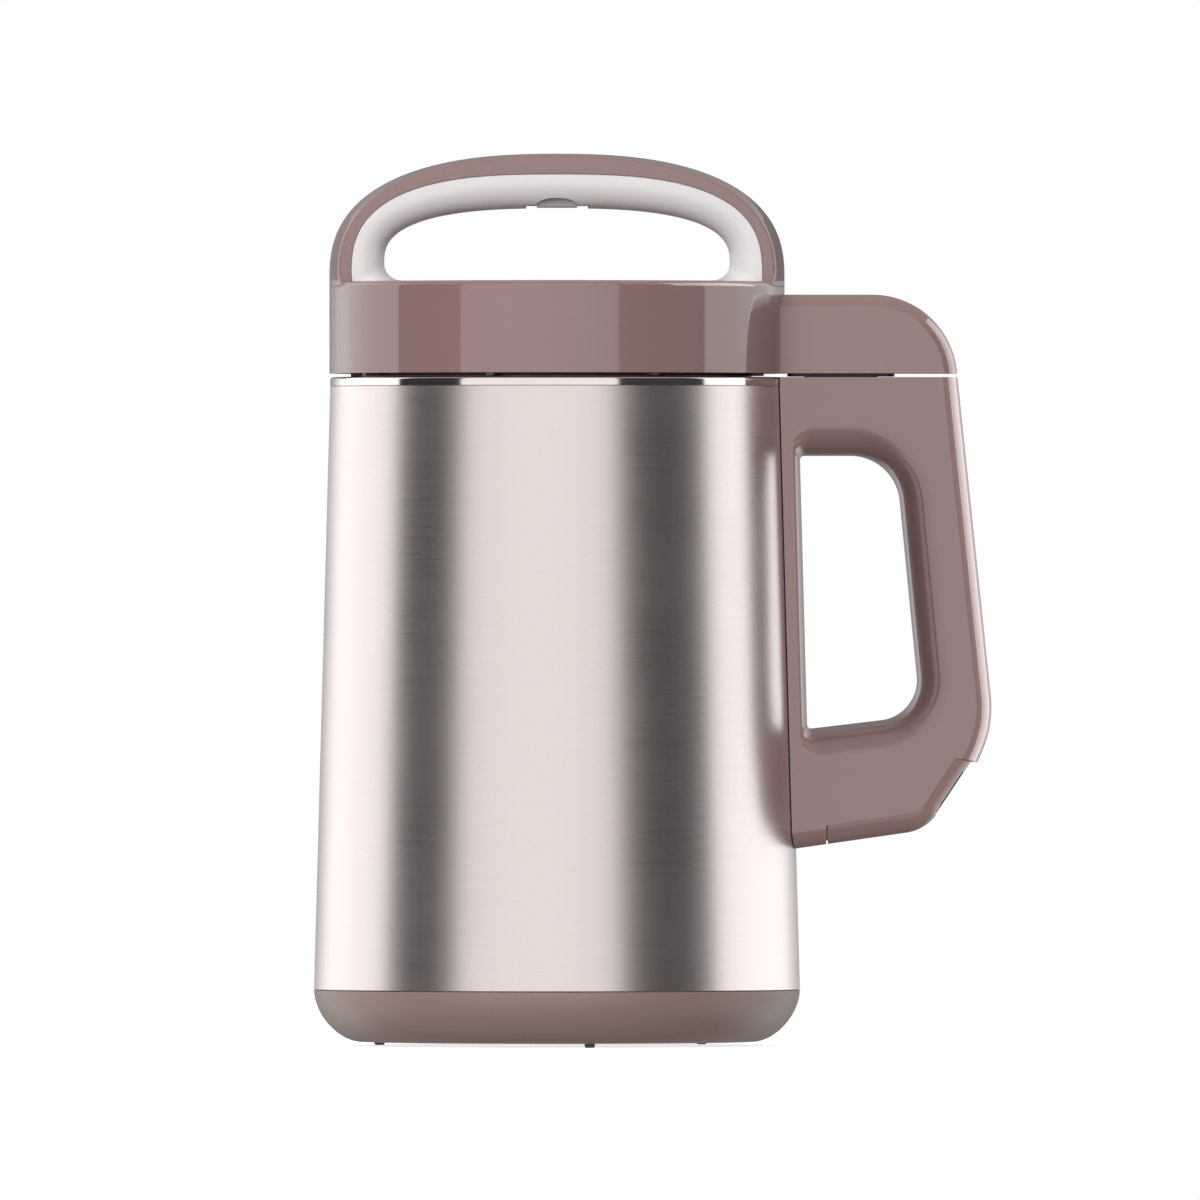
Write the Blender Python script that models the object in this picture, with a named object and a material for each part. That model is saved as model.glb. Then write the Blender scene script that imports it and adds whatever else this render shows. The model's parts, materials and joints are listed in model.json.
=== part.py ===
"""Soy milk maker: a double-walled steel jug with a side handle, and a lift-off head that
carries the motor, the blade in its guard and a carrying bail. Metres, +Z up, with the
origin on the floor under the middle of the whole object. The handle points to +X."""

import math
from collections import namedtuple

import bmesh
import bpy
from mathutils import Matrix, Vector

# A corner of an outline: place, fillet radius, and the width of the rounded long edge
# on the side that leaves the corner
Corner = namedtuple("Corner", "x z fillet edge")

# Fits
FIT_GAP = 0.0003
AIR_GAP = 0.0007
CUT_OVERRUN = 0.0020
MERGE_DISTANCE = 0.000001

# Facets
BIG_STEPS = 56
ROUND_STEPS = 24
SMALL_STEPS = 12
SIDE_STEPS = 6
FILLET_STEPS = 4
EDGE_STEPS = 3
CORNER_STEP_ANGLE = math.radians(16)
SHARP_ANGLE = math.radians(32)

# Jug: base, shell and rim
FOOT_HEIGHT = 0.0015
BASE_HEIGHT = 0.0191
BASE_CURVE_WIDTH = 0.0169
BASE_CURVE_POWER = 1.75
BASE_WALL = 0.0022
BASE_LIP_HEIGHT = 0.0060
SHELL_HEIGHT = 0.2235
SHELL_TOP_RADIUS = 0.0839
SHELL_FLARE = 0.0060
SHELL_WALL = 0.0008
RIM_STRIP_HEIGHT = 0.0032

# Cup
RIM_WIDTH = 0.0109
CUP_TAPER = 0.0025
CUP_FLOOR_HEIGHT = 0.0155
CUP_CORNER_RADIUS = 0.0150
CUP_WALL = 0.0008
POST_INSET = 0.0055
POST_RADIUS = 0.0045
POST_COUNT = 3
FIRST_POST_ANGLE = math.radians(90)

# Feet
FOOT_COUNT = 3
FOOT_INSET = 0.0030
FIRST_FOOT_ANGLE = math.radians(40)
FOOT_TIP_RADIUS = 0.0013
FOOT_NECK_RADIUS = 0.0019
FOOT_HEAD_RADIUS = 0.0032
FOOT_HEAD_HEIGHT = 0.0012
FOOT_TIP_HEIGHT = 0.0005

# Base screws
BOSS_RADIUS = 0.0062
BOSS_HEIGHT = 0.0105
BOSS_RECESS_DEPTH = 0.0045
SCREW_HEAD_RADIUS = 0.0034
SCREW_HEAD_HEIGHT = 0.0024
SCREW_SHANK_RADIUS = 0.0016
BASE_SCREW_LENGTH = 0.0160

# Heater
HEATER_CLEARANCE = 0.0015
HEATER_PLATE_HEIGHT = 0.0050
HEATER_RING_INSET = 0.0120
HEATER_TUBE_RADIUS = 0.0033
HEATER_GAP_ANGLE = math.radians(34)
HEATER_STEPS = 24
THERMOSTAT_RADIUS = 0.0090
THERMOSTAT_BOSS_RADIUS = 0.0060
THERMOSTAT_HEIGHT = 0.0045
THERMOSTAT_BOSS_HEIGHT = 0.0030

# Handle outline, measured out from the shell's top and up from the handle's bottom
HANDLE_HALF_DEPTH = 0.0175
HANDLE_HEIGHT = 0.1743
HANDLE_STAND = 0.0645
SIDE_LEAN_SHARE = 0.1045
ELBOW_RISE = 0.0138
ELBOW_FILLET = 0.0400
ELBOW_TUCK = 0.0060
STEP_WIDTH = 0.0026
STEP_EDGE = 0.0030
INLET_FACE_TUCK = 0.0100
INLET_FACE_HEIGHT = 0.0150
HEEL_TUCK = 0.0057
HEEL_HEIGHT = 0.0100
HEEL_FILLET = 0.0165
HEEL_RISE = 0.0070
ROOT_INSET = 0.0190
SPINE_EDGE = 0.0040
BOTTOM_EDGE = 0.0068
LONG_EDGE_DEPTH = 0.0068

# Grip opening
OPENING_ROOF = 0.0039
OPENING_RISE = 0.0442
GRIP_TOP_WIDTH = 0.0260
GRIP_BOTTOM_WIDTH = 0.0272
OPENING_SLOPE_RISE = 0.0050
COLUMN_WALL = 0.0053
OPENING_TOP_FILLET = 0.0183
OPENING_BOTTOM_FILLET = 0.0149
OPENING_CORNER_FILLET = 0.0015
OPENING_EDGE = 0.0090
COLUMN_EDGE = 0.0016

# Handle inside
SLIT_STAND = 0.0110
DUCT_HALF_DEPTH = 0.0100
DUCT_WALL = 0.0080
DUCT_ROOF = 0.0038
DUCT_START = 0.0035

# Handle fixing
BACKING_HALF_DEPTH = 0.0110
BACKING_WALL = 0.0015
BACKING_INSET = 0.0100
UPPER_SCREW_DROP = 0.0150
LOWER_SCREW_RISE = 0.0293
HANDLE_SCREW_LENGTH = 0.0095
LEAD_HOLE_RADIUS = 0.0029
LEAD_HOLE_RISE = 0.0153
LEAD_RADIUS = 0.0025
LEAD_BEND_RADIUS = 0.0068

# Coupler
COUPLER_STAND = 0.0211
COLLAR_FLANGE = 0.0063
COLLAR_LIP = 0.0022
COLLAR_HEIGHT = 0.0008
SOCKET_HALF_LENGTH = 0.0135
SOCKET_HALF_DEPTH = 0.0108
SOCKET_DEPTH = 0.0190
SOCKET_WALL = 0.0024
SOCKET_ROOM = 0.0062
PLUG_CLEARANCE = 0.0010
PLUG_NOSE_DEPTH = 0.0080
PLUG_FLANGE_HEIGHT = 0.0035
PLUG_FLANGE_WIDTH = 0.0035
PIN_RADIUS = 0.0016
PIN_PITCH_SHARE = 0.64
PIN_COUNT = 3
PIN_DROP = 0.0118
PIN_TAIL = 0.0030
CONTACT_TAIL = 0.0010

# Mains inlet, along its slanted face and square to it
INLET_PLACE_SHARE = 0.76
INLET_HALF_HEIGHT = 0.0092
INLET_HALF_WIDTH = 0.0130
INLET_LENGTH = 0.0170
INLET_WALL = 0.0020
INLET_CAVITY_DEPTH = 0.0130
INLET_PIN_HALF_THICKNESS = 0.0010
INLET_PIN_HALF_WIDTH = 0.0020
INLET_PIN_LENGTH = 0.0160
INLET_PIN_INSET = 0.0030
INLET_PIN_SPREAD = 0.0070
INLET_EARTH_RISE = 0.0025
INLET_LINE_DROP = 0.0025
INLET_ROOM = 0.0010

# Handle wiring
WIRING_RADIUS = 0.0022
ROUTE_STEPS = 4

# Head
LID_GAP = 0.0014
LID_OVERHANG = 0.0003
LID_HEIGHT = 0.0339
LID_WALL = 0.0024
LID_ROOF = 0.0030
LID_EDGE_RADIUS = 0.0020
ARM_STEP = 0.0048
ARM_FILLET_SHARE = 1.08
ARM_EDGE = 0.0044
ARM_WALL = 0.0024
ARM_ROOT_INSET = 0.0200

# Head base
HEAD_BASE_WALL = 0.0025
SPIGOT_CLEARANCE = 0.0010
SPIGOT_WALL = 0.0020
SPIGOT_DEPTH = 0.0130
PAD_COUNT = 8
FIRST_PAD_ANGLE = math.radians(-18)
PAD_LENGTH = 0.0060
PAD_WIDTH = 0.0030
PAD_STAND = 0.0040

# Bail
BAIL_HALF_DEPTH = 0.0240
BAIL_HEIGHT = 0.0474
BAIL_SHOULDER = 0.0014
BAIL_OUTER_POWER = 2.5
BAIL_SKIN_WIDTH = 0.0082
BAIL_SEAM_DROP = 0.0078
BAIL_SEAM_POWER = 2.8
BAIL_CHANNEL_WALL = 0.0035
BAIL_CHANNEL_SKIN = 0.0028
LINER_WIDTH = 0.0120
OPEN_DROP = 0.0201
OPEN_POWER = 2.7
OPEN_FOOT_RADIUS = 0.0065
LINER_EDGE = 0.0085
LINER_FOOT_LIP = 0.0004
BAIL_STEPS = 14
PLUG_HALF_LENGTH = 0.0105
PLUG_HALF_WIDTH = 0.0060
PLUG_POCKET_DEPTH = 0.0016
PLUG_PROUD = 0.0002

# Control panel and buttons
PANEL_INSET = 0.0180
PANEL_HALF_WIDTH = 0.0190
PANEL_FILLET = 0.0080
PANEL_THICKNESS = 0.0012
BUTTON_COUNT = 3
BUTTON_PITCH_SHARE = 0.522
BUTTON_RADIUS = 0.0062
BUTTON_CAP_HEIGHT = 0.0011
BUTTON_PROUD = 0.0004
BUTTON_STEM_RADIUS = 0.0025
BUTTON_TRAVEL = 0.0004
BOARD_THICKNESS = 0.0016
BOARD_DROP = 0.0080
BOARD_MARGIN = 0.0060
BOARD_POST_RADIUS = 0.0025
BOARD_POST_INSET = 0.0060

# Motor housing
HOUSING_RADIUS_SHARE = 0.5035
HOUSING_WALL = 0.0008
HOUSING_FILLET = 0.0050
HOUSING_FLANGE_WIDTH = 0.0105
NECK_RADIUS = 0.0100
NECK_HEIGHT = 0.0100
SEAL_WIDTH = 0.0080
SEAL_HEIGHT = 0.0015
SEAL_INSET = 0.0005

# Motor, measured up from the housing's floor
BRACKET_HUB_WALL = 0.0032
BRACKET_PLATE_WALL = 0.0030
BRACKET_RIM_WALL = 0.0034
BRACKET_LIFT = 0.0060
FAN_SPACE = 0.0150
BEARING_RADIUS = 0.0095
BEARING_HEIGHT = 0.0070
STATOR_BORE_SHARE = 0.494
STATOR_HEIGHT = 0.0280
POLE_WIDTH = 0.0020
COIL_CLEARANCE = 0.0015
COIL_HEIGHT = 0.0050
ROTOR_SLOT_DEPTH = 0.0040
ROTOR_COIL_HEIGHT = 0.0040
COMMUTATOR_RADIUS = 0.0090
COMMUTATOR_HEIGHT = 0.0120
UPPER_BRACKET_HEIGHT = 0.0260
BRUSH_HALF_WIDTH = 0.0032
BRUSH_HALF_HEIGHT = 0.0027
BRUSH_LENGTH = 0.0140
BRUSH_HOLDER_WALL = 0.0016
SHAFT_RADIUS = 0.0030
SHAFT_TOP_STAND = 0.0020
FAN_CLEARANCE = 0.0040
FAN_HUB_RADIUS = 0.0070
FAN_DISC_HEIGHT = 0.0012
FAN_HEIGHT = 0.0075
FAN_BLADE_COUNT = 7
FAN_BLADE_THICKNESS = 0.0012

# Guard and blade
GUARD_CLEARANCE = 0.0251
GUARD_DEPTH = 0.0525
GUARD_RADIUS = 0.0330
GUARD_WALL = 0.0015
GUARD_COLLAR_HEIGHT = 0.0085
GUARD_SHOULDER_RADIUS = 0.0180
GUARD_SLOT_HALF_WIDTH = 0.0035
GUARD_SLOT_HEADROOM = 0.0025
GUARD_SLOT_LIFT = 0.0080
GUARD_SLOT_PAIRS = 4
BLADE_DROP = 0.0290
BLADE_CLEARANCE = 0.0075
BLADE_HUB_RADIUS = 0.0070
BLADE_THICKNESS = 0.0012
BLADE_BEND = 0.0050
BLADE_BEND_START_SHARE = 0.45
BLADE_TIP_SHARE = 0.35
BLADE_ARMS = 4
NUT_RADIUS = 0.0055
NUT_HEIGHT = 0.0040
NUT_SIDES = 6
SHAFT_TIP_STAND = 0.0015

# Probes
PROBE_HEAD_RADIUS = 0.0055
PROBE_HEAD_HEIGHT = 0.0025
OVERFLOW_RADIUS = 0.0022
OVERFLOW_LENGTH = 0.0450
OVERFLOW_ANGLE = math.radians(35)
TEMPERATURE_RADIUS = 0.0034
TEMPERATURE_ANGLE = math.radians(-35)

# Finishes: colour as 8-bit red, green and blue, roughness, metallic
FINISHES = {
    "brushed_steel": ((214, 208, 205), 0.32, 1.0),
    "polished_steel": ((226, 222, 220), 0.12, 1.0),
    "dull_steel": ((176, 176, 178), 0.45, 1.0),
    "aluminium": ((190, 192, 194), 0.50, 1.0),
    "brass": ((196, 164, 98), 0.35, 1.0),
    "copper_winding": ((168, 98, 58), 0.45, 1.0),
    "carbon": ((48, 48, 50), 0.75, 0.2),
    "brown_gloss": ((146, 122, 116), 0.28, 0.0),
    "brown_base": ((134, 114, 106), 0.35, 0.0),
    "silver_satin": ((214, 210, 208), 0.30, 0.8),
    "grey_plastic": ((128, 128, 130), 0.45, 0.0),
    "dark_plastic": ((52, 48, 47), 0.40, 0.0),
    "black_plastic": ((30, 30, 31), 0.45, 0.0),
    "button_plastic": ((206, 200, 196), 0.35, 0.0),
    "rubber": ((40, 40, 42), 0.80, 0.0),
    "silicone": ((190, 188, 184), 0.60, 0.0),
    "board_green": ((40, 92, 60), 0.50, 0.0),
}

# Jug sizes that follow from others
SHELL_FOOT_RADIUS = SHELL_TOP_RADIUS + SHELL_FLARE
BASE_FLAT_RADIUS = SHELL_FOOT_RADIUS - BASE_CURVE_WIDTH
FOOT_RING_RADIUS = BASE_FLAT_RADIUS - FOOT_INSET
CUP_MOUTH_RADIUS = SHELL_TOP_RADIUS - RIM_WIDTH
CUP_FLOOR_RADIUS = CUP_MOUTH_RADIUS - CUP_TAPER
POST_RING_RADIUS = CUP_FLOOR_RADIUS - CUP_CORNER_RADIUS - POST_INSET
HEATER_PLATE_RADIUS = POST_RING_RADIUS - POST_RADIUS - HEATER_CLEARANCE
HEATER_RING_RADIUS = HEATER_PLATE_RADIUS - HEATER_RING_INSET

# Handle and coupler sizes that follow from others
HANDLE_REACH = SHELL_TOP_RADIUS + HANDLE_STAND
COUPLER_REACH = SHELL_TOP_RADIUS + COUPLER_STAND
COLLAR_HALF_LENGTH = SOCKET_HALF_LENGTH + COLLAR_FLANGE
COLLAR_HALF_DEPTH = SOCKET_HALF_DEPTH + COLLAR_LIP
PLUG_HALF_NOSE = SOCKET_HALF_LENGTH - SOCKET_WALL - PLUG_CLEARANCE
PLUG_HALF_DEPTH = SOCKET_HALF_DEPTH - SOCKET_WALL - PLUG_CLEARANCE
PIN_PITCH = PLUG_HALF_NOSE * PIN_PITCH_SHARE

# Head sizes that follow from others
LID_RADIUS = SHELL_TOP_RADIUS + LID_OVERHANG
ARM_HEIGHT = LID_HEIGHT - ARM_STEP
ARM_FILLET = ARM_HEIGHT * ARM_FILLET_SHARE
SPIGOT_RADIUS = CUP_MOUTH_RADIUS - SPIGOT_CLEARANCE
PAD_RING_RADIUS = CUP_MOUTH_RADIUS + PAD_STAND
BAIL_SEAM_HALF_WIDTH = LID_RADIUS - BAIL_SKIN_WIDTH
OPEN_HALF_WIDTH = BAIL_SEAM_HALF_WIDTH - LINER_WIDTH
PANEL_HALF_LENGTH = OPEN_HALF_WIDTH - PANEL_INSET
BUTTON_PITCH = PANEL_HALF_LENGTH * BUTTON_PITCH_SHARE
BOARD_HALF_LENGTH = PANEL_HALF_LENGTH + BOARD_MARGIN
BOARD_HALF_WIDTH = PANEL_HALF_WIDTH + BOARD_MARGIN

# Motor sizes that follow from others
HOUSING_RADIUS = CUP_FLOOR_RADIUS * HOUSING_RADIUS_SHARE
HOUSING_FLANGE_RADIUS = HOUSING_RADIUS + HOUSING_FLANGE_WIDTH
HOUSING_INNER_RADIUS = HOUSING_RADIUS - HOUSING_WALL
MOTOR_RADIUS = HOUSING_INNER_RADIUS - FIT_GAP
STATOR_BORE_RADIUS = MOTOR_RADIUS * STATOR_BORE_SHARE
ROTOR_COIL_RADIUS = STATOR_BORE_RADIUS - ROTOR_SLOT_DEPTH
COIL_INNER_RADIUS = STATOR_BORE_RADIUS + POLE_WIDTH
COIL_OUTER_RADIUS = MOTOR_RADIUS - BRACKET_RIM_WALL - COIL_CLEARANCE
FAN_RADIUS = MOTOR_RADIUS - BRACKET_RIM_WALL - FAN_CLEARANCE
BLADE_RADIUS = GUARD_RADIUS - GUARD_WALL - BLADE_CLEARANCE
PROBE_RING_RADIUS = (HOUSING_FLANGE_RADIUS + SPIGOT_RADIUS - SPIGOT_WALL) / 2

# Levels on the body axis
BASE_TOP = FOOT_HEIGHT + BASE_HEIGHT
SHELL_FOOT = BASE_TOP + FIT_GAP
RIM_UNDERSIDE = BASE_TOP + SHELL_HEIGHT
RIM_TOP = RIM_UNDERSIDE + RIM_STRIP_HEIGHT
CUP_FLOOR = BASE_TOP + CUP_FLOOR_HEIGHT
CUP_UNDERSIDE = CUP_FLOOR - CUP_WALL
LID_UNDERSIDE = RIM_TOP + LID_GAP
HEATER_PLATE_TOP = CUP_UNDERSIDE - FIT_GAP
HEATER_PLATE_UNDERSIDE = HEATER_PLATE_TOP - HEATER_PLATE_HEIGHT
BASE_FLOOR = FOOT_HEIGHT + BASE_WALL
BOSS_TOP = BASE_FLOOR + BOSS_HEIGHT

# Levels in the handle
HANDLE_BOTTOM = RIM_TOP - HANDLE_HEIGHT
HEEL_LEVEL = HANDLE_BOTTOM + HEEL_RISE
FACE_END_LEVEL = HEEL_LEVEL + HEEL_HEIGHT
SPINE_END_LEVEL = FACE_END_LEVEL + INLET_FACE_HEIGHT
ELBOW_LEVEL = SPINE_END_LEVEL + ELBOW_RISE
SOCKET_FOOT = RIM_TOP - SOCKET_DEPTH
POCKET_FLOOR = SOCKET_FOOT - SOCKET_ROOM
OPENING_TOP = POCKET_FLOOR - OPENING_ROOF
OPENING_BOTTOM = HANDLE_BOTTOM + OPENING_RISE
UPPER_SCREW_LEVEL = RIM_TOP - UPPER_SCREW_DROP
LOWER_SCREW_LEVEL = HANDLE_BOTTOM + LOWER_SCREW_RISE
LEAD_HOLE_LEVEL = HANDLE_BOTTOM + LEAD_HOLE_RISE

# Levels above and below the lid's underside
HOUSING_DEPTH = LID_UNDERSIDE - CUP_FLOOR - GUARD_CLEARANCE - GUARD_DEPTH
HEAD_BASE_TOP = HEAD_BASE_WALL
SEAL_FOOT = HEAD_BASE_TOP + FIT_GAP
FLANGE_FOOT = SEAL_FOOT + SEAL_HEIGHT + FIT_GAP
HOUSING_FLOOR = HOUSING_WALL - HOUSING_DEPTH
NECK_FOOT = -HOUSING_DEPTH - NECK_HEIGHT
BRACKET_PLATE_TOP = HOUSING_FLOOR + FIT_GAP + BRACKET_LIFT + BRACKET_PLATE_WALL
STATOR_FOOT = BRACKET_PLATE_TOP + FAN_SPACE + FIT_GAP
STATOR_TOP = STATOR_FOOT + STATOR_HEIGHT
COMMUTATOR_FOOT = STATOR_TOP + COIL_HEIGHT + CUT_OVERRUN
UPPER_BRACKET_FOOT = STATOR_TOP + FIT_GAP
UPPER_BRACKET_TOP = UPPER_BRACKET_FOOT + UPPER_BRACKET_HEIGHT
BRUSH_LEVEL = COMMUTATOR_FOOT + COMMUTATOR_HEIGHT / 2
ROTOR_BORE_RADIUS = SHAFT_RADIUS + FIT_GAP
BLADE_LEVEL = NECK_FOOT - BLADE_DROP
ROOF_UNDERSIDE = LID_HEIGHT - LID_ROOF
PANEL_FLOOR = LID_HEIGHT - PANEL_THICKNESS - FIT_GAP
BOARD_TOP = LID_HEIGHT - BOARD_DROP


# Shape helpers


def shell_radius(height):
    """Outer radius of the shell's straight taper at a height on the body axis."""
    share = (height - BASE_TOP) / SHELL_HEIGHT
    return SHELL_FOOT_RADIUS + (SHELL_TOP_RADIUS - SHELL_FOOT_RADIUS) * share


def quarter_curve(width, height, power, steps):
    """One quarter of a superellipse, from (width, 0) round to (0, height)."""
    points = []
    for step in range(steps + 1):
        angle = math.pi / 2 * step / steps
        along = max(math.cos(angle), 0.0) ** (2 / power)
        up = math.sin(angle) ** (2 / power)
        points.append((width * along, height * up))
    return points


def arc(centre, radius, start, end, steps):
    """Points on an arc in the plane of an outline."""
    points = []
    for step in range(steps + 1):
        angle = start + (end - start) * step / steps
        points.append((centre[0] + radius * math.cos(angle), centre[1] + radius * math.sin(angle)))
    return points


def crossing(point, direction, other_point, other_direction):
    """Where two lines in a plane cross."""
    gap = other_point - point
    turn = direction.x * other_direction.y - direction.y * other_direction.x
    return point + direction * (gap.x * other_direction.y - gap.y * other_direction.x) / turn


def inset_corners(corners, share):
    """The same outline with each side moved inwards by a share of its edge width.

    The corners run clockwise with x to the right and z up."""
    sides = []
    for index, corner in enumerate(corners):
        after = corners[(index + 1) % len(corners)]
        direction = Vector((after.x - corner.x, after.z - corner.z)).normalized()
        inwards = Vector((direction.y, -direction.x))
        sides.append((Vector((corner.x, corner.z)) + inwards * corner.edge * share, direction))
    moved = []
    for index, corner in enumerate(corners):
        before = corners[index - 1]
        place = crossing(*sides[index - 1], *sides[index])
        arriving, leaving = sides[index - 1][1], sides[index][1]
        convex = arriving.x * leaving.y - arriving.y * leaving.x < 0
        change = (before.edge + corner.edge) / 2 * share * (1 if convex else -1)
        fillet = max(corner.fillet - change, corner.fillet / 10) if corner.fillet else 0
        moved.append(Corner(place.x, place.y, fillet, corner.edge))
    return moved


def filleted(corners):
    """Outline points, with an arc at each corner that has a fillet."""
    points = []
    for index, corner in enumerate(corners):
        place = Vector((corner.x, corner.z))
        if corner.fillet == 0:
            points.append(tuple(place))
            continue
        before = corners[index - 1]
        after = corners[(index + 1) % len(corners)]
        arriving = (Vector((before.x, before.z)) - place).normalized()
        leaving = (Vector((after.x, after.z)) - place).normalized()
        half = arriving.angle(leaving) / 2
        centre = place + (arriving + leaving).normalized() * corner.fillet / math.sin(half)
        start = place + arriving * corner.fillet / math.tan(half) - centre
        end = place + leaving * corner.fillet / math.tan(half) - centre
        sweep = math.pi - 2 * half
        steps = math.ceil(sweep / CORNER_STEP_ANGLE)
        for step in range(steps + 1):
            angle = sweep * step / steps
            spoke = (start * math.sin(sweep - angle) + end * math.sin(angle)) / math.sin(sweep)
            points.append(tuple(centre + spoke))
    return points


def smooth_route(points):
    """A Catmull-Rom curve through the points of a route."""
    vectors = [Vector(point) for point in points]
    padded = [vectors[0] * 2 - vectors[1], *vectors, vectors[-1] * 2 - vectors[-2]]
    route = []
    for first, start, end, last in zip(padded, padded[1:], padded[2:], padded[3:]):
        for step in range(ROUTE_STEPS):
            t = step / ROUTE_STEPS
            cubic = (start * 3 - first - end * 3 + last) * t**3
            square = (first * 2 - start * 5 + end * 4 - last) * t**2
            route.append((start * 2 + (end - first) * t + square + cubic) / 2)
    route.append(vectors[-1])
    return route


def ring_places(count, radius, first_angle):
    """Centres of features spread evenly on a circle."""
    angles = [first_angle + math.tau * index / count for index in range(count)]
    return [(radius * math.cos(angle), radius * math.sin(angle)) for angle in angles]


# Mesh makers: each adds one closed body to a bmesh


def add_turned(bm, outline, steps):
    """A body turned about the vertical axis, from (radius, height) points."""
    corners = [bm.verts.new((radius, 0, height)) for radius, height in outline]
    edges = []
    for index, corner in enumerate(corners):
        after = corners[(index + 1) % len(corners)]
        if max(corner.co.x, after.co.x) > MERGE_DISTANCE:
            edges.append(bm.edges.new((corner, after)))
    bmesh.ops.spin(
        bm, geom=corners + edges, cent=(0, 0, 0), axis=(0, 0, 1), angle=math.tau, steps=steps, use_merge=True
    )
    bmesh.ops.remove_doubles(bm, verts=bm.verts, dist=MERGE_DISTANCE)


def add_rod(bm, start, end, radius, steps):
    """A round bar between two points."""
    run = Vector(end) - Vector(start)
    middle = (Vector(end) + Vector(start)) / 2
    turn = run.to_track_quat("Z", "Y").to_matrix().to_4x4()
    turn.translation = middle
    bmesh.ops.create_cone(
        bm, cap_ends=True, segments=steps, radius1=radius, radius2=radius, depth=run.length, matrix=turn
    )


def add_block(bm, low, high, turn=0.0):
    """A box between two corners, turned about the vertical through the frame's origin."""
    made = bmesh.ops.create_cube(bm, size=1)["verts"]
    size = [top - bottom for bottom, top in zip(low, high)]
    middle = [(top + bottom) / 2 for bottom, top in zip(low, high)]
    bmesh.ops.scale(bm, vec=size, verts=made)
    bmesh.ops.translate(bm, vec=middle, verts=made)
    bmesh.ops.rotate(bm, cent=(0, 0, 0), matrix=Matrix.Rotation(turn, 3, "Z"), verts=made)


def add_loft(bm, levels):
    """A body through outlines in the XZ plane, each at its own depth in Y."""
    add_skin(bm, [[(x, depth, z) for x, z in outline] for depth, outline in levels])


def add_skin(bm, sections):
    """A body through sections that all have the same number of points."""
    rings = [[bm.verts.new(point) for point in section] for section in sections]
    bm.faces.new(rings[0])
    bm.faces.new(rings[-1])
    sides = []
    for ring, next_ring in zip(rings, rings[1:]):
        for index in range(len(ring)):
            after = (index + 1) % len(ring)
            sides.append(bm.faces.new((ring[index], ring[after], next_ring[after], next_ring[index])))
    if len(rings) > 2:
        bmesh.ops.triangulate(bm, faces=sides)


def add_prism(bm, outline, half_depth):
    """A slab of one outline, from -half_depth to half_depth in Y."""
    add_loft(bm, [(-half_depth, outline), (half_depth, outline)])


def rounded_levels(corners, half_depth, edge_depth, grow=False, overrun=0.0):
    """Outlines of a slab whose long edges are rounded, or of a hole that flares the same way."""
    front = []
    sign = -1 if grow else 1
    for step in range(EDGE_STEPS + 1):
        angle = math.pi / 2 * step / EDGE_STEPS
        outline = filleted(inset_corners(corners, sign * (1 - math.sin(angle))))
        front.append((-half_depth + edge_depth * (1 - math.cos(angle)), outline))
    if overrun:
        front.insert(0, (-half_depth - overrun, front[0][1]))
    back = [(-depth, outline) for depth, outline in reversed(front)]
    return front + back


# Scene helpers


def linear(channel):
    """An 8-bit colour channel as the linear value that a shader takes."""
    share = channel / 255
    return ((share + 0.055) / 1.055) ** 2.4


def give_finish(obj, finish):
    """The object's own material."""
    colour, roughness, metallic = FINISHES[finish]
    material = bpy.data.materials.new(f"{obj.name}_{finish}")
    material.use_nodes = True
    shader = material.node_tree.nodes["Principled BSDF"]
    shader.inputs["Base Color"].default_value = (*[linear(channel) for channel in colour], 1)
    shader.inputs["Roughness"].default_value = roughness
    shader.inputs["Metallic"].default_value = metallic
    obj.data.materials.append(material)


def mark(name, parent=None, location=(0, 0, 0), rotation=(0, 0, 0)):
    """An empty that other objects hang from."""
    empty = bpy.data.objects.new(name, None)
    bpy.context.scene.collection.objects.link(empty)
    empty.parent = parent
    empty.location = location
    empty.rotation_euler = rotation
    return empty


def put(name, bm, parent, location=(0, 0, 0)):
    """A mesh object from a bmesh."""
    bmesh.ops.recalc_face_normals(bm, faces=bm.faces)
    mesh = bpy.data.meshes.new(name)
    bm.to_mesh(mesh)
    bm.free()
    mesh.shade_smooth()
    mesh.set_sharp_from_angle(angle=SHARP_ANGLE)
    obj = bpy.data.objects.new(name, mesh)
    bpy.context.scene.collection.objects.link(obj)
    obj.parent = parent
    obj.location = location
    return obj


def piece(name, bm, finish, parent, location=(0, 0, 0)):
    """One sub-part of the object."""
    obj = put(name, bm, parent, location)
    give_finish(obj, finish)
    return obj


def tool(name, bm, parent, location=(0, 0, 0)):
    """A shape that only cuts, joins or trims a sub-part."""
    obj = put(name, bm, parent, location)
    obj.hide_render = True
    obj.display_type = "WIRE"
    return obj


def work(obj, shape, operation="DIFFERENCE"):
    """Cut, join or trim a sub-part with a tool's shape."""
    step = obj.modifiers.new(shape.name, "BOOLEAN")
    step.operation = operation
    step.object = shape
    step.solver = "EXACT"


def turned_piece(name, outline, steps, finish, parent, location=(0, 0, 0)):
    """A sub-part that is turned about its own vertical axis."""
    bm = bmesh.new()
    add_turned(bm, outline, steps)
    return piece(name, bm, finish, parent, location)


def ring_outline(inner, outer, low, high):
    """Section of a plain ring."""
    return [(inner, low), (outer, low), (outer, high), (inner, high)]


def cable(name, route, radius, finish, parent):
    """A round cable or tube along a route."""
    curve = bpy.data.curves.new(name, "CURVE")
    curve.dimensions = "3D"
    curve.bevel_depth = radius
    curve.bevel_resolution = 2
    curve.use_fill_caps = True
    spline = curve.splines.new("POLY")
    spline.points.add(len(route) - 1)
    for point, place in zip(spline.points, route):
        point.co = (*place, 1)
    obj = bpy.data.objects.new(name, curve)
    bpy.context.scene.collection.objects.link(obj)
    obj.parent = parent
    give_finish(obj, finish)
    return obj


# Jug


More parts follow.
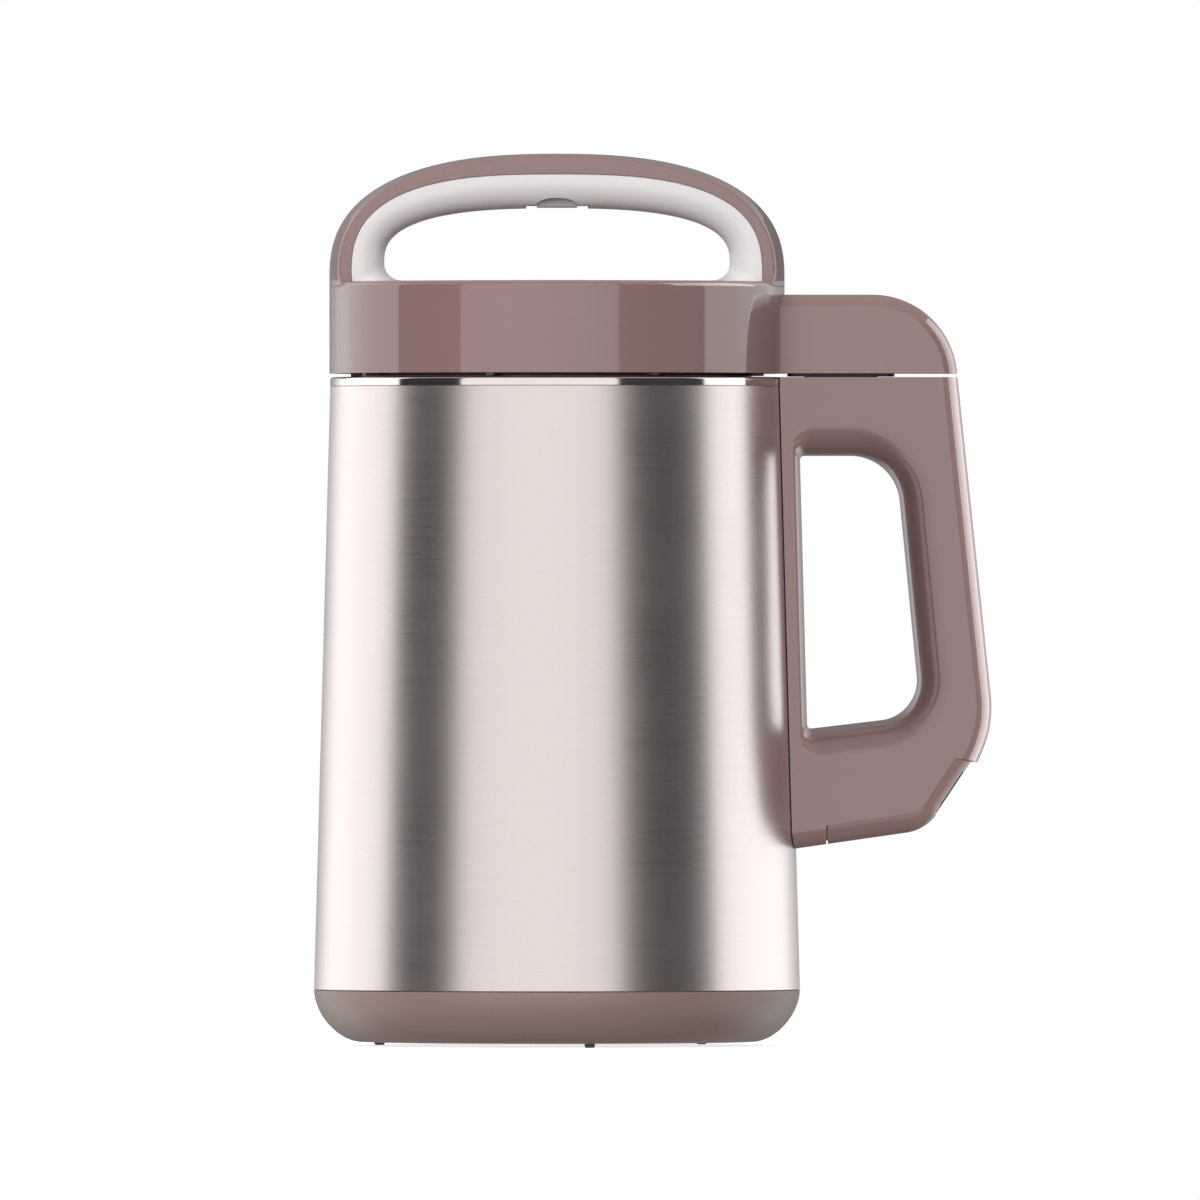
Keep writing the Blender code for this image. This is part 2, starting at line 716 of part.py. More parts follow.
def base_outer_curve():
    """Side of the base, from its flat underside up to its rim."""
    width = SHELL_FOOT_RADIUS - BASE_FLAT_RADIUS
    curve = quarter_curve(BASE_HEIGHT, width, BASE_CURVE_POWER, SIDE_STEPS)
    return [(BASE_FLAT_RADIUS + out, BASE_TOP - up) for up, out in curve]


def base_inner_curve(radius):
    """Inside of the base's side, from the foot of its lip down to its floor."""
    flat = FOOT_RING_RADIUS + FOOT_HEAD_RADIUS + FIT_GAP
    curve = quarter_curve(BASE_HEIGHT - BASE_WALL, radius - flat, BASE_CURVE_POWER, FILLET_STEPS)
    return [(flat + out, BASE_TOP - up) for up, out in reversed(curve)]


def make_base(body):
    """Moulded base with a lip inside the shell, three screw bosses and holes for the feet."""
    lip_top = BASE_TOP + BASE_LIP_HEIGHT
    lip_radius = shell_radius(lip_top) - SHELL_WALL - FIT_GAP
    outline = [(0, FOOT_HEIGHT), *base_outer_curve()]
    outline += [(lip_radius, BASE_TOP), (lip_radius, lip_top), (lip_radius - BASE_WALL, lip_top)]
    outline += [*base_inner_curve(lip_radius - BASE_WALL), (0, BASE_FLOOR)]
    base = turned_piece("base_cover", outline, BIG_STEPS, "brown_base", body)
    places = ring_places(POST_COUNT, POST_RING_RADIUS, FIRST_POST_ANGLE)
    bosses = bmesh.new()
    recesses = bmesh.new()
    bores = bmesh.new()
    recess_top = FOOT_HEIGHT + BOSS_RECESS_DEPTH
    for x, y in places:
        add_rod(bosses, (x, y, BASE_FLOOR - BASE_WALL / 2), (x, y, BOSS_TOP), BOSS_RADIUS, SMALL_STEPS)
        bottom = (x, y, FOOT_HEIGHT - CUT_OVERRUN)
        add_rod(recesses, bottom, (x, y, recess_top), SCREW_HEAD_RADIUS + FIT_GAP, SMALL_STEPS)
        add_rod(bores, bottom, (x, y, BOSS_TOP + CUT_OVERRUN), SCREW_SHANK_RADIUS + FIT_GAP, SMALL_STEPS)
    for x, y in ring_places(FOOT_COUNT, FOOT_RING_RADIUS, FIRST_FOOT_ANGLE):
        bottom = (x, y, FOOT_HEIGHT - CUT_OVERRUN)
        add_rod(bores, bottom, (x, y, BASE_FLOOR + CUT_OVERRUN), FOOT_NECK_RADIUS + FIT_GAP, SMALL_STEPS)
    work(base, tool("base_boss_shapes", bosses, body), "UNION")
    work(base, tool("base_recess_cuts", recesses, body))
    work(base, tool("base_bore_cuts", bores, body))


def make_base_screws(body):
    """Three screws from under the base up into the cup's posts."""
    head_foot = FOOT_HEIGHT + BOSS_RECESS_DEPTH - FIT_GAP - SCREW_HEAD_HEIGHT
    outline = [(0, 0), (SCREW_HEAD_RADIUS, 0), (SCREW_HEAD_RADIUS, SCREW_HEAD_HEIGHT)]
    outline += [(SCREW_SHANK_RADIUS, SCREW_HEAD_HEIGHT)]
    outline += [(SCREW_SHANK_RADIUS, BASE_SCREW_LENGTH), (0, BASE_SCREW_LENGTH + SCREW_SHANK_RADIUS)]
    for number, place in enumerate(ring_places(POST_COUNT, POST_RING_RADIUS, FIRST_POST_ANGLE), 1):
        spot = (*place, head_foot)
        turned_piece(f"base_screw_{number}", outline, SMALL_STEPS, "dull_steel", body, spot)


def make_feet(body):
    """Three small rubber feet, each held by a head above the base's floor."""
    neck_top = BASE_FLOOR + FIT_GAP
    outline = [(0, 0), (FOOT_TIP_RADIUS, 0), (FOOT_NECK_RADIUS, FOOT_TIP_HEIGHT)]
    outline += [(FOOT_NECK_RADIUS, neck_top), (FOOT_HEAD_RADIUS, neck_top)]
    outline += [(FOOT_HEAD_RADIUS, neck_top + FOOT_HEAD_HEIGHT), (0, neck_top + FOOT_HEAD_HEIGHT)]
    for number, place in enumerate(ring_places(FOOT_COUNT, FOOT_RING_RADIUS, FIRST_FOOT_ANGLE), 1):
        turned_piece(f"foot_{number}", outline, SMALL_STEPS, "rubber", body, (*place, 0))


def make_shell(body, bores):
    """Tapered outer shell, open at both ends."""
    foot = SHELL_FOOT
    top = RIM_UNDERSIDE - FIT_GAP
    outline = [(shell_radius(foot), foot), (shell_radius(top), top)]
    outline += [(shell_radius(top) - SHELL_WALL, top), (shell_radius(foot) - SHELL_WALL, foot)]
    shell = turned_piece("outer_shell", outline, BIG_STEPS, "brushed_steel", body)
    for bore in bores:
        work(shell, bore)


def cup_wall_points(growth):
    """The cup's side from its mouth down round its corner, moved out by growth."""
    corner_z = CUP_FLOOR + CUP_CORNER_RADIUS
    centre = (CUP_FLOOR_RADIUS - CUP_CORNER_RADIUS, corner_z)
    turn = arc(centre, CUP_CORNER_RADIUS + growth, 0, -math.pi / 2, FILLET_STEPS)
    return [(CUP_MOUTH_RADIUS + growth, RIM_TOP - growth), *turn]


def make_cup(body):
    """Drawn steel cup with a rim rolled over the shell, and three posts under its floor."""
    inner = cup_wall_points(0)
    outer = cup_wall_points(CUP_WALL)
    rim_radius = SHELL_TOP_RADIUS
    bead = RIM_STRIP_HEIGHT / 3
    rolled = arc((rim_radius - bead, RIM_TOP - bead), bead, math.pi / 2, 0, FILLET_STEPS)
    hem_radius = rim_radius - CUP_WALL
    outline = [(0, CUP_FLOOR), *reversed(inner), *rolled]
    outline += [(rim_radius, RIM_UNDERSIDE), (hem_radius, RIM_UNDERSIDE)]
    outline += [(hem_radius, RIM_TOP - CUP_WALL), *outer, (0, CUP_UNDERSIDE)]
    cup = turned_piece("inner_cup", outline, BIG_STEPS, "polished_steel", body)
    posts = bmesh.new()
    bores = bmesh.new()
    foot = BOSS_TOP + FIT_GAP
    for x, y in ring_places(POST_COUNT, POST_RING_RADIUS, FIRST_POST_ANGLE):
        add_rod(posts, (x, y, foot), (x, y, CUP_FLOOR - CUP_WALL / 2), POST_RADIUS, SMALL_STEPS)
        bore_top = FOOT_HEIGHT + BOSS_RECESS_DEPTH + BASE_SCREW_LENGTH
        bore = ((x, y, foot - CUT_OVERRUN), (x, y, bore_top))
        add_rod(bores, *bore, SCREW_SHANK_RADIUS + FIT_GAP, SMALL_STEPS)
    work(cup, tool("cup_post_shapes", posts, body), "UNION")
    work(cup, tool("cup_post_bores", bores, body))


def make_heater(body):
    """Plate under the cup with its ring heater and the thermostat in its middle."""
    underside = HEATER_PLATE_UNDERSIDE
    plate = [(0, 0), (HEATER_PLATE_RADIUS, 0), (HEATER_PLATE_RADIUS, HEATER_PLATE_HEIGHT)]
    plate += [(0, HEATER_PLATE_HEIGHT)]
    turned_piece("heater_plate", plate, ROUND_STEPS, "aluminium", body, (0, 0, underside))
    level = underside - FIT_GAP - HEATER_TUBE_RADIUS
    start = HEATER_GAP_ANGLE / 2
    ring = arc((0, 0), HEATER_RING_RADIUS, start, math.tau - start, HEATER_STEPS)
    route = [(x, y, level) for x, y in ring]
    cable("heater_tube", route, HEATER_TUBE_RADIUS, "dull_steel", body)
    boss_foot = THERMOSTAT_HEIGHT
    top = boss_foot + THERMOSTAT_BOSS_HEIGHT
    outline = [(0, 0), (THERMOSTAT_RADIUS, 0), (THERMOSTAT_RADIUS, boss_foot)]
    outline += [(THERMOSTAT_BOSS_RADIUS, boss_foot), (THERMOSTAT_BOSS_RADIUS, top), (0, top)]
    spot = (0, 0, underside - FIT_GAP - top)
    turned_piece("thermostat", outline, ROUND_STEPS, "black_plastic", body, spot)


# Handle


def side_reach(level):
    """Reach of the handle's straight outer side at a height on the body axis."""
    return HANDLE_REACH + SIDE_LEAN_SHARE * (RIM_TOP - level)


def slit_reach():
    """Where the seam between the frame and the spine cover leaves the handle's bottom."""
    return shell_radius(HANDLE_BOTTOM) + SLIT_STAND


def handle_corners():
    """The handle's side outline, clockwise from its root on the shell at the top."""
    root = SHELL_TOP_RADIUS - ROOT_INSET
    elbow_reach = side_reach(ELBOW_LEVEL)
    end_reach = elbow_reach - ELBOW_TUCK
    face_top = end_reach - STEP_WIDTH
    face_reach = face_top - INLET_FACE_TUCK
    heel_reach = face_reach - HEEL_TUCK
    wall_reach = shell_radius(HANDLE_BOTTOM)
    slope = HEEL_RISE / (heel_reach - wall_reach)
    return [
        Corner(root, RIM_TOP, 0, 0),
        Corner(HANDLE_REACH, RIM_TOP, 0, SPINE_EDGE),
        Corner(elbow_reach, ELBOW_LEVEL, ELBOW_FILLET, SPINE_EDGE),
        Corner(end_reach, SPINE_END_LEVEL, 0, STEP_EDGE),
        Corner(face_top, SPINE_END_LEVEL, 0, SPINE_EDGE),
        Corner(face_reach, FACE_END_LEVEL, 0, SPINE_EDGE),
        Corner(heel_reach, HEEL_LEVEL, HEEL_FILLET, BOTTOM_EDGE),
        Corner(root, HANDLE_BOTTOM - slope * (wall_reach - root), 0, 0),
    ]


def opening_corners():
    """The grip opening, clockwise from its top corner at the column."""
    top, bottom = OPENING_TOP, OPENING_BOTTOM
    left_top = shell_radius(top) + COLUMN_WALL
    left_bottom = shell_radius(bottom) + COLUMN_WALL
    right_top = side_reach(top) - GRIP_TOP_WIDTH
    right_bottom = side_reach(bottom) - GRIP_BOTTOM_WIDTH
    right_end = bottom + OPENING_SLOPE_RISE
    return [
        Corner(left_top, top, OPENING_CORNER_FILLET, OPENING_EDGE),
        Corner(right_top, top, OPENING_TOP_FILLET, OPENING_EDGE),
        Corner(right_bottom, right_end, OPENING_BOTTOM_FILLET, OPENING_EDGE),
        Corner(left_bottom, bottom, OPENING_CORNER_FILLET, COLUMN_EDGE),
    ]


def handle_reach():
    """The furthest that the handle stands from the body axis."""
    return max(x for x, z in filleted(handle_corners()))


def add_handle_blank(bm):
    """The whole handle with its rounded long edges, before its opening is cut."""
    add_loft(bm, rounded_levels(handle_corners(), HANDLE_HALF_DEPTH, LONG_EDGE_DEPTH))


def opening_tool(body):
    """The grip opening, flaring towards the front and the back."""
    bm = bmesh.new()
    levels = rounded_levels(opening_corners(), HANDLE_HALF_DEPTH, OPENING_EDGE, True, CUT_OVERRUN)
    add_loft(bm, levels)
    return tool("grip_opening_cut", bm, body)


def shell_clearance_tool(body):
    """Everything that the shell and the rim fill, with the fit gap round them."""
    low = HANDLE_BOTTOM - ROOT_INSET
    outline = [(0, low), (shell_radius(low) + FIT_GAP, low)]
    outline += [(SHELL_TOP_RADIUS + FIT_GAP, RIM_UNDERSIDE)]
    outline += [(SHELL_TOP_RADIUS + FIT_GAP, RIM_TOP + CUT_OVERRUN), (0, RIM_TOP + CUT_OVERRUN)]
    bm = bmesh.new()
    add_turned(bm, outline, BIG_STEPS)
    return tool("shell_clearance", bm, body)


def spine_space(name, gap, body):
    """The space outside the handle's crease, which the spine cover fills."""
    corners = [corner._replace(edge=max(corner.edge - gap, 0)) for corner in handle_corners()]
    inner = filleted(inset_corners(corners, 1))
    crease = inner[1:-1]
    slit = slit_reach() + gap
    run = [(crease[0][0] - SIDE_LEAN_SHARE * CUT_OVERRUN, RIM_TOP + CUT_OVERRUN), *crease]
    last, tail = inner[-2:]
    share = (last[0] - slit) / (last[0] - tail[0])
    slit_top = last[1] + (tail[1] - last[1]) * share
    low = tail[1] - HEEL_FILLET
    far = handle_reach() + HEEL_FILLET
    run += [(slit, slit_top), (slit, low), (far, low), (far, RIM_TOP + CUT_OVERRUN)]
    bm = bmesh.new()
    add_prism(bm, run, HANDLE_HALF_DEPTH + CUT_OVERRUN)
    return tool(name, bm, body)


def duct_tool(body):
    """The wiring duct: a C round the opening, open towards the spine cover."""
    opening = opening_corners()
    top = POCKET_FLOOR
    roof = RIM_TOP - DUCT_ROOF
    bottom = opening[3].z - DUCT_WALL
    start = COUPLER_REACH
    left = slit_reach() + DUCT_START
    far = handle_reach() + CUT_OVERRUN
    low = HANDLE_BOTTOM - CUT_OVERRUN
    outline = [
        (start, roof),
        (far, roof),
        (far, low),
        (left, low),
        (left, bottom),
        (opening[2].x, bottom),
        (opening[2].x + DUCT_WALL, opening[2].z + DUCT_WALL),
        (opening[1].x + DUCT_WALL, opening[1].z - OPENING_TOP_FILLET),
        (opening[1].x - DUCT_WALL / 2, top),
        (start, top),
    ]
    bm = bmesh.new()
    add_prism(bm, outline, DUCT_HALF_DEPTH)
    return tool("duct_cut", bm, body)


def inlet_mark(body):
    """A frame on the slanted face: +Z out of the face, +X down along it."""
    corners = handle_corners()
    top, end = corners[4], corners[5]
    run = Vector((end.x - top.x, end.z - top.z))
    spot = Vector((top.x, top.z)) + run * INLET_PLACE_SHARE
    return mark("inlet_mark", body, (spot.x, 0, spot.y), (0, math.atan2(-run.y, run.x), 0))


def inlet_block(name, room, depth, parent):
    """A box round the inlet's body, grown by room, that reaches depth into the handle."""
    bm = bmesh.new()
    low = (-INLET_HALF_HEIGHT - room, -INLET_HALF_WIDTH - room, -depth)
    high = (INLET_HALF_HEIGHT + room, INLET_HALF_WIDTH + room, HEEL_FILLET)
    add_block(bm, low, high)
    return tool(name, bm, parent)


def make_handle(body, inlet, bores):
    """Handle frame and the spine cover that closes its wiring duct."""
    opening = opening_tool(body)
    clearance = shell_clearance_tool(body)
    bm = bmesh.new()
    add_handle_blank(bm)
    frame = piece("handle_frame", bm, "brown_gloss", body)
    work(frame, clearance)
    work(frame, opening)
    work(frame, spine_space("spine_space_cut", 0, body))
    work(frame, duct_tool(body))
    pocket = bmesh.new()
    half_length = SOCKET_HALF_LENGTH + FIT_GAP
    half_depth = SOCKET_HALF_DEPTH + FIT_GAP
    low = (COUPLER_REACH - half_length, -half_depth, POCKET_FLOOR)
    add_block(pocket, low, (COUPLER_REACH + half_length, half_depth, RIM_TOP + CUT_OVERRUN))
    work(frame, tool("socket_pocket_cut", pocket, body))
    work(frame, inlet_block("inlet_room_cut", INLET_ROOM, INLET_LENGTH + INLET_ROOM, inlet))
    for bore in bores:
        work(frame, bore)

    bm = bmesh.new()
    add_handle_blank(bm)
    spine = piece("handle_spine_cover", bm, "brown_gloss", body)
    work(spine, spine_space("spine_shape", FIT_GAP, body), "INTERSECT")
    work(spine, inlet_block("inlet_hole_cut", FIT_GAP, INLET_LENGTH + INLET_ROOM, inlet))


def screw_levels():
    """Heights of the two screws that hold the handle."""
    return (UPPER_SCREW_LEVEL, LOWER_SCREW_LEVEL)


def fixing_bores(name, radius, start, length, body):
    """Bores for the handle's two screws."""
    bm = bmesh.new()
    for level in screw_levels():
        inner = shell_radius(level) - start
        add_rod(bm, (inner, 0, level), (inner + length, 0, level), radius, SMALL_STEPS)
    return tool(name, bm, body)


def lead_bore(body):
    """The hole through the shell and the column for the heater's leads."""
    level = LEAD_HOLE_LEVEL
    bm = bmesh.new()
    start = shell_radius(level) - SHELL_WALL - CUT_OVERRUN * 2
    end = slit_reach() + DUCT_START + CUT_OVERRUN
    add_rod(bm, (start, 0, level), (end, 0, level), LEAD_HOLE_RADIUS, SMALL_STEPS)
    return tool("lead_bore_cut", bm, body)


def make_backing(body, bores):
    """Curved plate inside the shell, and the two screws that pull the handle to it."""
    low = LOWER_SCREW_LEVEL - BACKING_INSET
    high = RIM_UNDERSIDE - BACKING_INSET / 2
    foot, top = low - CUT_OVERRUN, high + CUT_OVERRUN
    skin = SHELL_WALL + FIT_GAP
    outline = [(shell_radius(foot) - skin, foot), (shell_radius(top) - skin, top)]
    outline += [(shell_radius(top) - skin - BACKING_WALL, top)]
    outline += [(shell_radius(foot) - skin - BACKING_WALL, foot)]
    plate = turned_piece("handle_backing_plate", outline, BIG_STEPS, "dull_steel", body)
    bm = bmesh.new()
    add_block(bm, (0, -BACKING_HALF_DEPTH, low), (HANDLE_REACH, BACKING_HALF_DEPTH, high))
    work(plate, tool("backing_trim", bm, body), "INTERSECT")
    for bore in bores:
        work(plate, bore)
    head_gap = skin + BACKING_WALL + FIT_GAP
    outline = [(0, -SCREW_HEAD_HEIGHT), (SCREW_HEAD_RADIUS, -SCREW_HEAD_HEIGHT)]
    outline += [(SCREW_HEAD_RADIUS, 0), (SCREW_SHANK_RADIUS, 0)]
    outline += [(SCREW_SHANK_RADIUS, HANDLE_SCREW_LENGTH), (0, HANDLE_SCREW_LENGTH)]
    for name, level in zip(("upper", "lower"), screw_levels()):
        spot = (shell_radius(level) - head_gap - sagitta(level), 0, level)
        screw = turned_piece(f"handle_screw_{name}", outline, SMALL_STEPS, "dull_steel", body, spot)
        screw.rotation_euler = (0, math.pi / 2, 0)


def sagitta(level):
    """How far the backing plate's flat facets and its taper stand behind its radius."""
    taper = (SHELL_FOOT_RADIUS - SHELL_TOP_RADIUS) / SHELL_HEIGHT * SCREW_HEAD_RADIUS
    radius = shell_radius(level)
    curve = radius - math.sqrt(radius**2 - SCREW_HEAD_RADIUS**2)
    return taper + curve


def make_socket(body):
    """Coupler socket in the top of the handle, with three spring contacts in its floor."""
    foot = SOCKET_FOOT
    collar_foot = RIM_TOP + FIT_GAP
    top = collar_foot + COLLAR_HEIGHT
    bm = bmesh.new()
    low = (COUPLER_REACH - COLLAR_HALF_LENGTH, -COLLAR_HALF_DEPTH, collar_foot)
    add_block(bm, low, (COUPLER_REACH + COLLAR_HALF_LENGTH, COLLAR_HALF_DEPTH, top))
    socket = piece("coupler_socket", bm, "dark_plastic", body)
    bm = bmesh.new()
    low = (COUPLER_REACH - SOCKET_HALF_LENGTH, -SOCKET_HALF_DEPTH, foot)
    high = (COUPLER_REACH + SOCKET_HALF_LENGTH, SOCKET_HALF_DEPTH, top - COLLAR_HEIGHT / 2)
    add_block(bm, low, high)
    work(socket, tool("socket_body_shape", bm, body), "UNION")
    bm = bmesh.new()
    half_length = SOCKET_HALF_LENGTH - SOCKET_WALL
    half_depth = SOCKET_HALF_DEPTH - SOCKET_WALL
    low = (COUPLER_REACH - half_length, -half_depth, foot + SOCKET_WALL)
    add_block(bm, low, (COUPLER_REACH + half_length, half_depth, top + CUT_OVERRUN))
    work(socket, tool("socket_recess_cut", bm, body))
    holes = bmesh.new()
    for reach in pin_reaches():
        ends = ((reach, 0, foot - CUT_OVERRUN), (reach, 0, foot + SOCKET_WALL + CUT_OVERRUN))
        add_rod(holes, *ends, PIN_RADIUS + FIT_GAP, SMALL_STEPS)
    work(socket, tool("socket_contact_holes", holes, body))
    height = LID_UNDERSIDE - PIN_DROP - FIT_GAP - foot + CONTACT_TAIL
    outline = [(0, 0), (PIN_RADIUS, 0), (PIN_RADIUS, height), (0, height)]
    for number, reach in enumerate(pin_reaches(), 1):
        spot = (reach, 0, foot - CONTACT_TAIL)
        turned_piece(f"socket_contact_{number}", outline, SMALL_STEPS, "brass", body, spot)


def pin_reaches():
    """Places of the coupler's pins along the handle."""
    middle = (PIN_COUNT - 1) / 2
    return [COUPLER_REACH + PIN_PITCH * (index - middle) for index in range(PIN_COUNT)]


def make_inlet(inlet):
    """Mains inlet in the slanted face, with its three pins."""
    face = -FIT_GAP
    bm = bmesh.new()
    low = (-INLET_HALF_HEIGHT, -INLET_HALF_WIDTH, -INLET_LENGTH)
    add_block(bm, low, (INLET_HALF_HEIGHT, INLET_HALF_WIDTH, face))
    body = piece("mains_inlet", bm, "black_plastic", inlet)
    bm = bmesh.new()
    height = INLET_HALF_HEIGHT - INLET_WALL
    width = INLET_HALF_WIDTH - INLET_WALL
    add_block(bm, (-height, -width, -INLET_CAVITY_DEPTH), (height, width, CUT_OVERRUN))
    work(body, tool("inlet_cavity_cut", bm, inlet))
    places = (
        ("live", INLET_LINE_DROP, -INLET_PIN_SPREAD),
        ("earth", -INLET_EARTH_RISE, 0),
        ("neutral", INLET_LINE_DROP, INLET_PIN_SPREAD),
    )
    holes = bmesh.new()
    thick = INLET_PIN_HALF_THICKNESS
    wide = INLET_PIN_HALF_WIDTH
    for name, down, across in places:
        low = (down - wide - FIT_GAP, across - thick - FIT_GAP, -INLET_LENGTH - CUT_OVERRUN)
        high = (down + wide + FIT_GAP, across + thick + FIT_GAP, CUT_OVERRUN - INLET_CAVITY_DEPTH)
        add_block(holes, low, high)
        bm = bmesh.new()
        start = -INLET_PIN_INSET
        add_block(bm, (-wide, -thick, start - INLET_PIN_LENGTH), (wide, thick, start))
        piece(f"inlet_pin_{name}", bm, "brass", inlet, (down, across, 0))
    work(body, tool("inlet_pin_holes", holes, inlet))


def make_wiring(body, inlet):
    """Wiring from the inlet up the grip to the coupler, and the heater's leads."""
    opening = opening_corners()
    level = POCKET_FLOOR + WIRING_RADIUS + FIT_GAP
    above_inlet = Vector((-INLET_HALF_HEIGHT - WIRING_RADIUS - INLET_ROOM, 0, INLET_ROOM - INLET_LENGTH))
    grip_bottom = opening[2].x + DUCT_WALL + WIRING_RADIUS
    route = [
        (COUPLER_REACH - PIN_PITCH, 0, level),
        (COUPLER_REACH + PIN_PITCH, 0, level),
        (opening[1].x - DUCT_WALL / 2, 0, level + WIRING_RADIUS / 2),
        (opening[1].x + DUCT_WALL / 2, 0, opening[1].z + WIRING_RADIUS),
        (opening[1].x + DUCT_WALL + WIRING_RADIUS * 2, 0, opening[1].z - OPENING_TOP_FILLET),
        (grip_bottom, 0, opening[2].z + OPENING_BOTTOM_FILLET * 2),
        (grip_bottom, 0, opening[2].z + DUCT_WALL / 2),
        tuple(inlet.matrix_basis @ above_inlet),
    ]
    cable("handle_wiring", smooth_route(route), WIRING_RADIUS, "rubber", body)
    hole = LEAD_HOLE_LEVEL
    bend_start = hole - LEAD_BEND_RADIUS * 2
    inside = (CUP_FLOOR_RADIUS + CUP_WALL + shell_radius(hole) - SHELL_WALL) / 2
    ring_level = HEATER_PLATE_UNDERSIDE - HEATER_TUBE_RADIUS
    route = [
        (HEATER_RING_RADIUS, 0, ring_level),
        (POST_RING_RADIUS, 0, ring_level),
        (CUP_FLOOR_RADIUS, 0, CUP_UNDERSIDE - CUP_WALL),
        (inside, 0, (CUP_FLOOR + bend_start) / 2),
        (inside, 0, bend_start),
    ]
    centre = (inside + LEAD_BEND_RADIUS, hole - LEAD_BEND_RADIUS)
    bend = arc(centre, LEAD_BEND_RADIUS, math.pi, math.pi / 2, FILLET_STEPS)
    path = smooth_route(route) + [(x, 0, z) for x, z in bend]
    path.append((slit_reach() + DUCT_START + LEAD_BEND_RADIUS, 0, hole))
    cable("heater_leads", path, LEAD_RADIUS, "rubber", body)


# Head shell and bail; heights are above the lid's underside


def arm_corners(inset):
    """The arm's side outline, clockwise from its root in the lid, moved in by inset."""
    foot = -CUT_OVERRUN
    reach = HANDLE_REACH + SIDE_LEAN_SHARE * (RIM_TOP - LID_UNDERSIDE - foot)
    top_reach = reach - SIDE_LEAN_SHARE * (ARM_HEIGHT - foot)
    root = LID_RADIUS - ARM_ROOT_INSET
    edge = inset or ARM_EDGE
    corners = [
        Corner(root, ARM_HEIGHT, 0, edge),
        Corner(top_reach, ARM_HEIGHT, ARM_FILLET, edge),
        Corner(reach, foot, 0, 0),
        Corner(root, foot, 0, 0),
    ]
    return inset_corners(corners, 1) if inset else corners


def lid_outline():
    """Outside of the lid as a solid that runs on a little below its underside."""
    foot = -CUT_OVERRUN / 2
    centre = (LID_RADIUS - LID_EDGE_RADIUS, LID_HEIGHT - LID_EDGE_RADIUS)
    edge = arc(centre, LID_EDGE_RADIUS, 0, math.pi / 2, EDGE_STEPS)
    return [(0, foot), (LID_RADIUS, foot), *edge, (0, LID_HEIGHT)]


def board_posts():
    """Places of the four posts that hold the control board."""
    x = BOARD_HALF_LENGTH - BOARD_POST_INSET
    y = BOARD_HALF_WIDTH - BOARD_POST_INSET
    return [(x, y), (-x, y), (-x, -y), (x, -y)]


def button_places():
    """Places of the buttons along the panel."""
    middle = (BUTTON_COUNT - 1) / 2
    return [BUTTON_PITCH * (index - middle) for index in range(BUTTON_COUNT)]


def panel_corners(growth):
    """The panel's outline seen from above, clockwise, moved out by growth."""
    length = PANEL_HALF_LENGTH + growth
    width = PANEL_HALF_WIDTH + growth
    fillet = PANEL_FILLET + growth
    return [
        Corner(-length, width, fillet, 0),
        Corner(length, width, fillet, 0),
        Corner(length, -width, fillet, 0),
        Corner(-length, -width, fillet, 0),
    ]


def add_plate(bm, outline, low, high):
    """A flat plate of an outline seen from above."""
    add_skin(bm, [[(x, y, level) for x, y in outline] for level in (low, high)])


def make_head_shell(head):
    """Lid and arm in one moulding, hollow and open underneath."""
    shell = turned_piece("head_shell", lid_outline(), BIG_STEPS, "brown_gloss", head)
    bm = bmesh.new()
    add_loft(bm, rounded_levels(arm_corners(0), HANDLE_HALF_DEPTH, ARM_EDGE))
    work(shell, tool("arm_shape", bm, head), "UNION")
    radius = LID_RADIUS - LID_WALL
    bm = bmesh.new()
    outline = [(0, -CUT_OVERRUN), (radius, -CUT_OVERRUN), (radius, ROOF_UNDERSIDE), (0, ROOF_UNDERSIDE)]
    add_turned(bm, outline, BIG_STEPS)
    work(shell, tool("lid_cavity_cut", bm, head))
    bm = bmesh.new()
    add_prism(bm, filleted(arm_corners(ARM_WALL)), HANDLE_HALF_DEPTH - ARM_WALL)
    work(shell, tool("arm_cavity_cut", bm, head))
    bm = bmesh.new()
    foot = BOARD_TOP + FIT_GAP
    top = ROOF_UNDERSIDE + LID_ROOF / 4
    for x, y in board_posts():
        add_rod(bm, (x, y, foot), (x, y, top), BOARD_POST_RADIUS, SMALL_STEPS)
    work(shell, tool("board_post_shapes", bm, head), "UNION")
    bm = bmesh.new()
    add_plate(bm, filleted(panel_corners(FIT_GAP)), PANEL_FLOOR, LID_HEIGHT + CUT_OVERRUN)
    work(shell, tool("panel_recess_cut", bm, head))
    bm = bmesh.new()
    for x in button_places():
        ends = ((x, 0, ROOF_UNDERSIDE - CUT_OVERRUN), (x, 0, LID_HEIGHT))
        add_rod(bm, *ends, BUTTON_STEM_RADIUS + FIT_GAP, SMALL_STEPS)
    work(shell, tool("button_stem_holes", bm, head))
    bm = bmesh.new()
    low = (-HANDLE_REACH, -HANDLE_REACH, -CUT_OVERRUN * 2)
    add_block(bm, low, (HANDLE_REACH + CUT_OVERRUN, HANDLE_REACH, 0))
    work(shell, tool("underside_trim", bm, head))


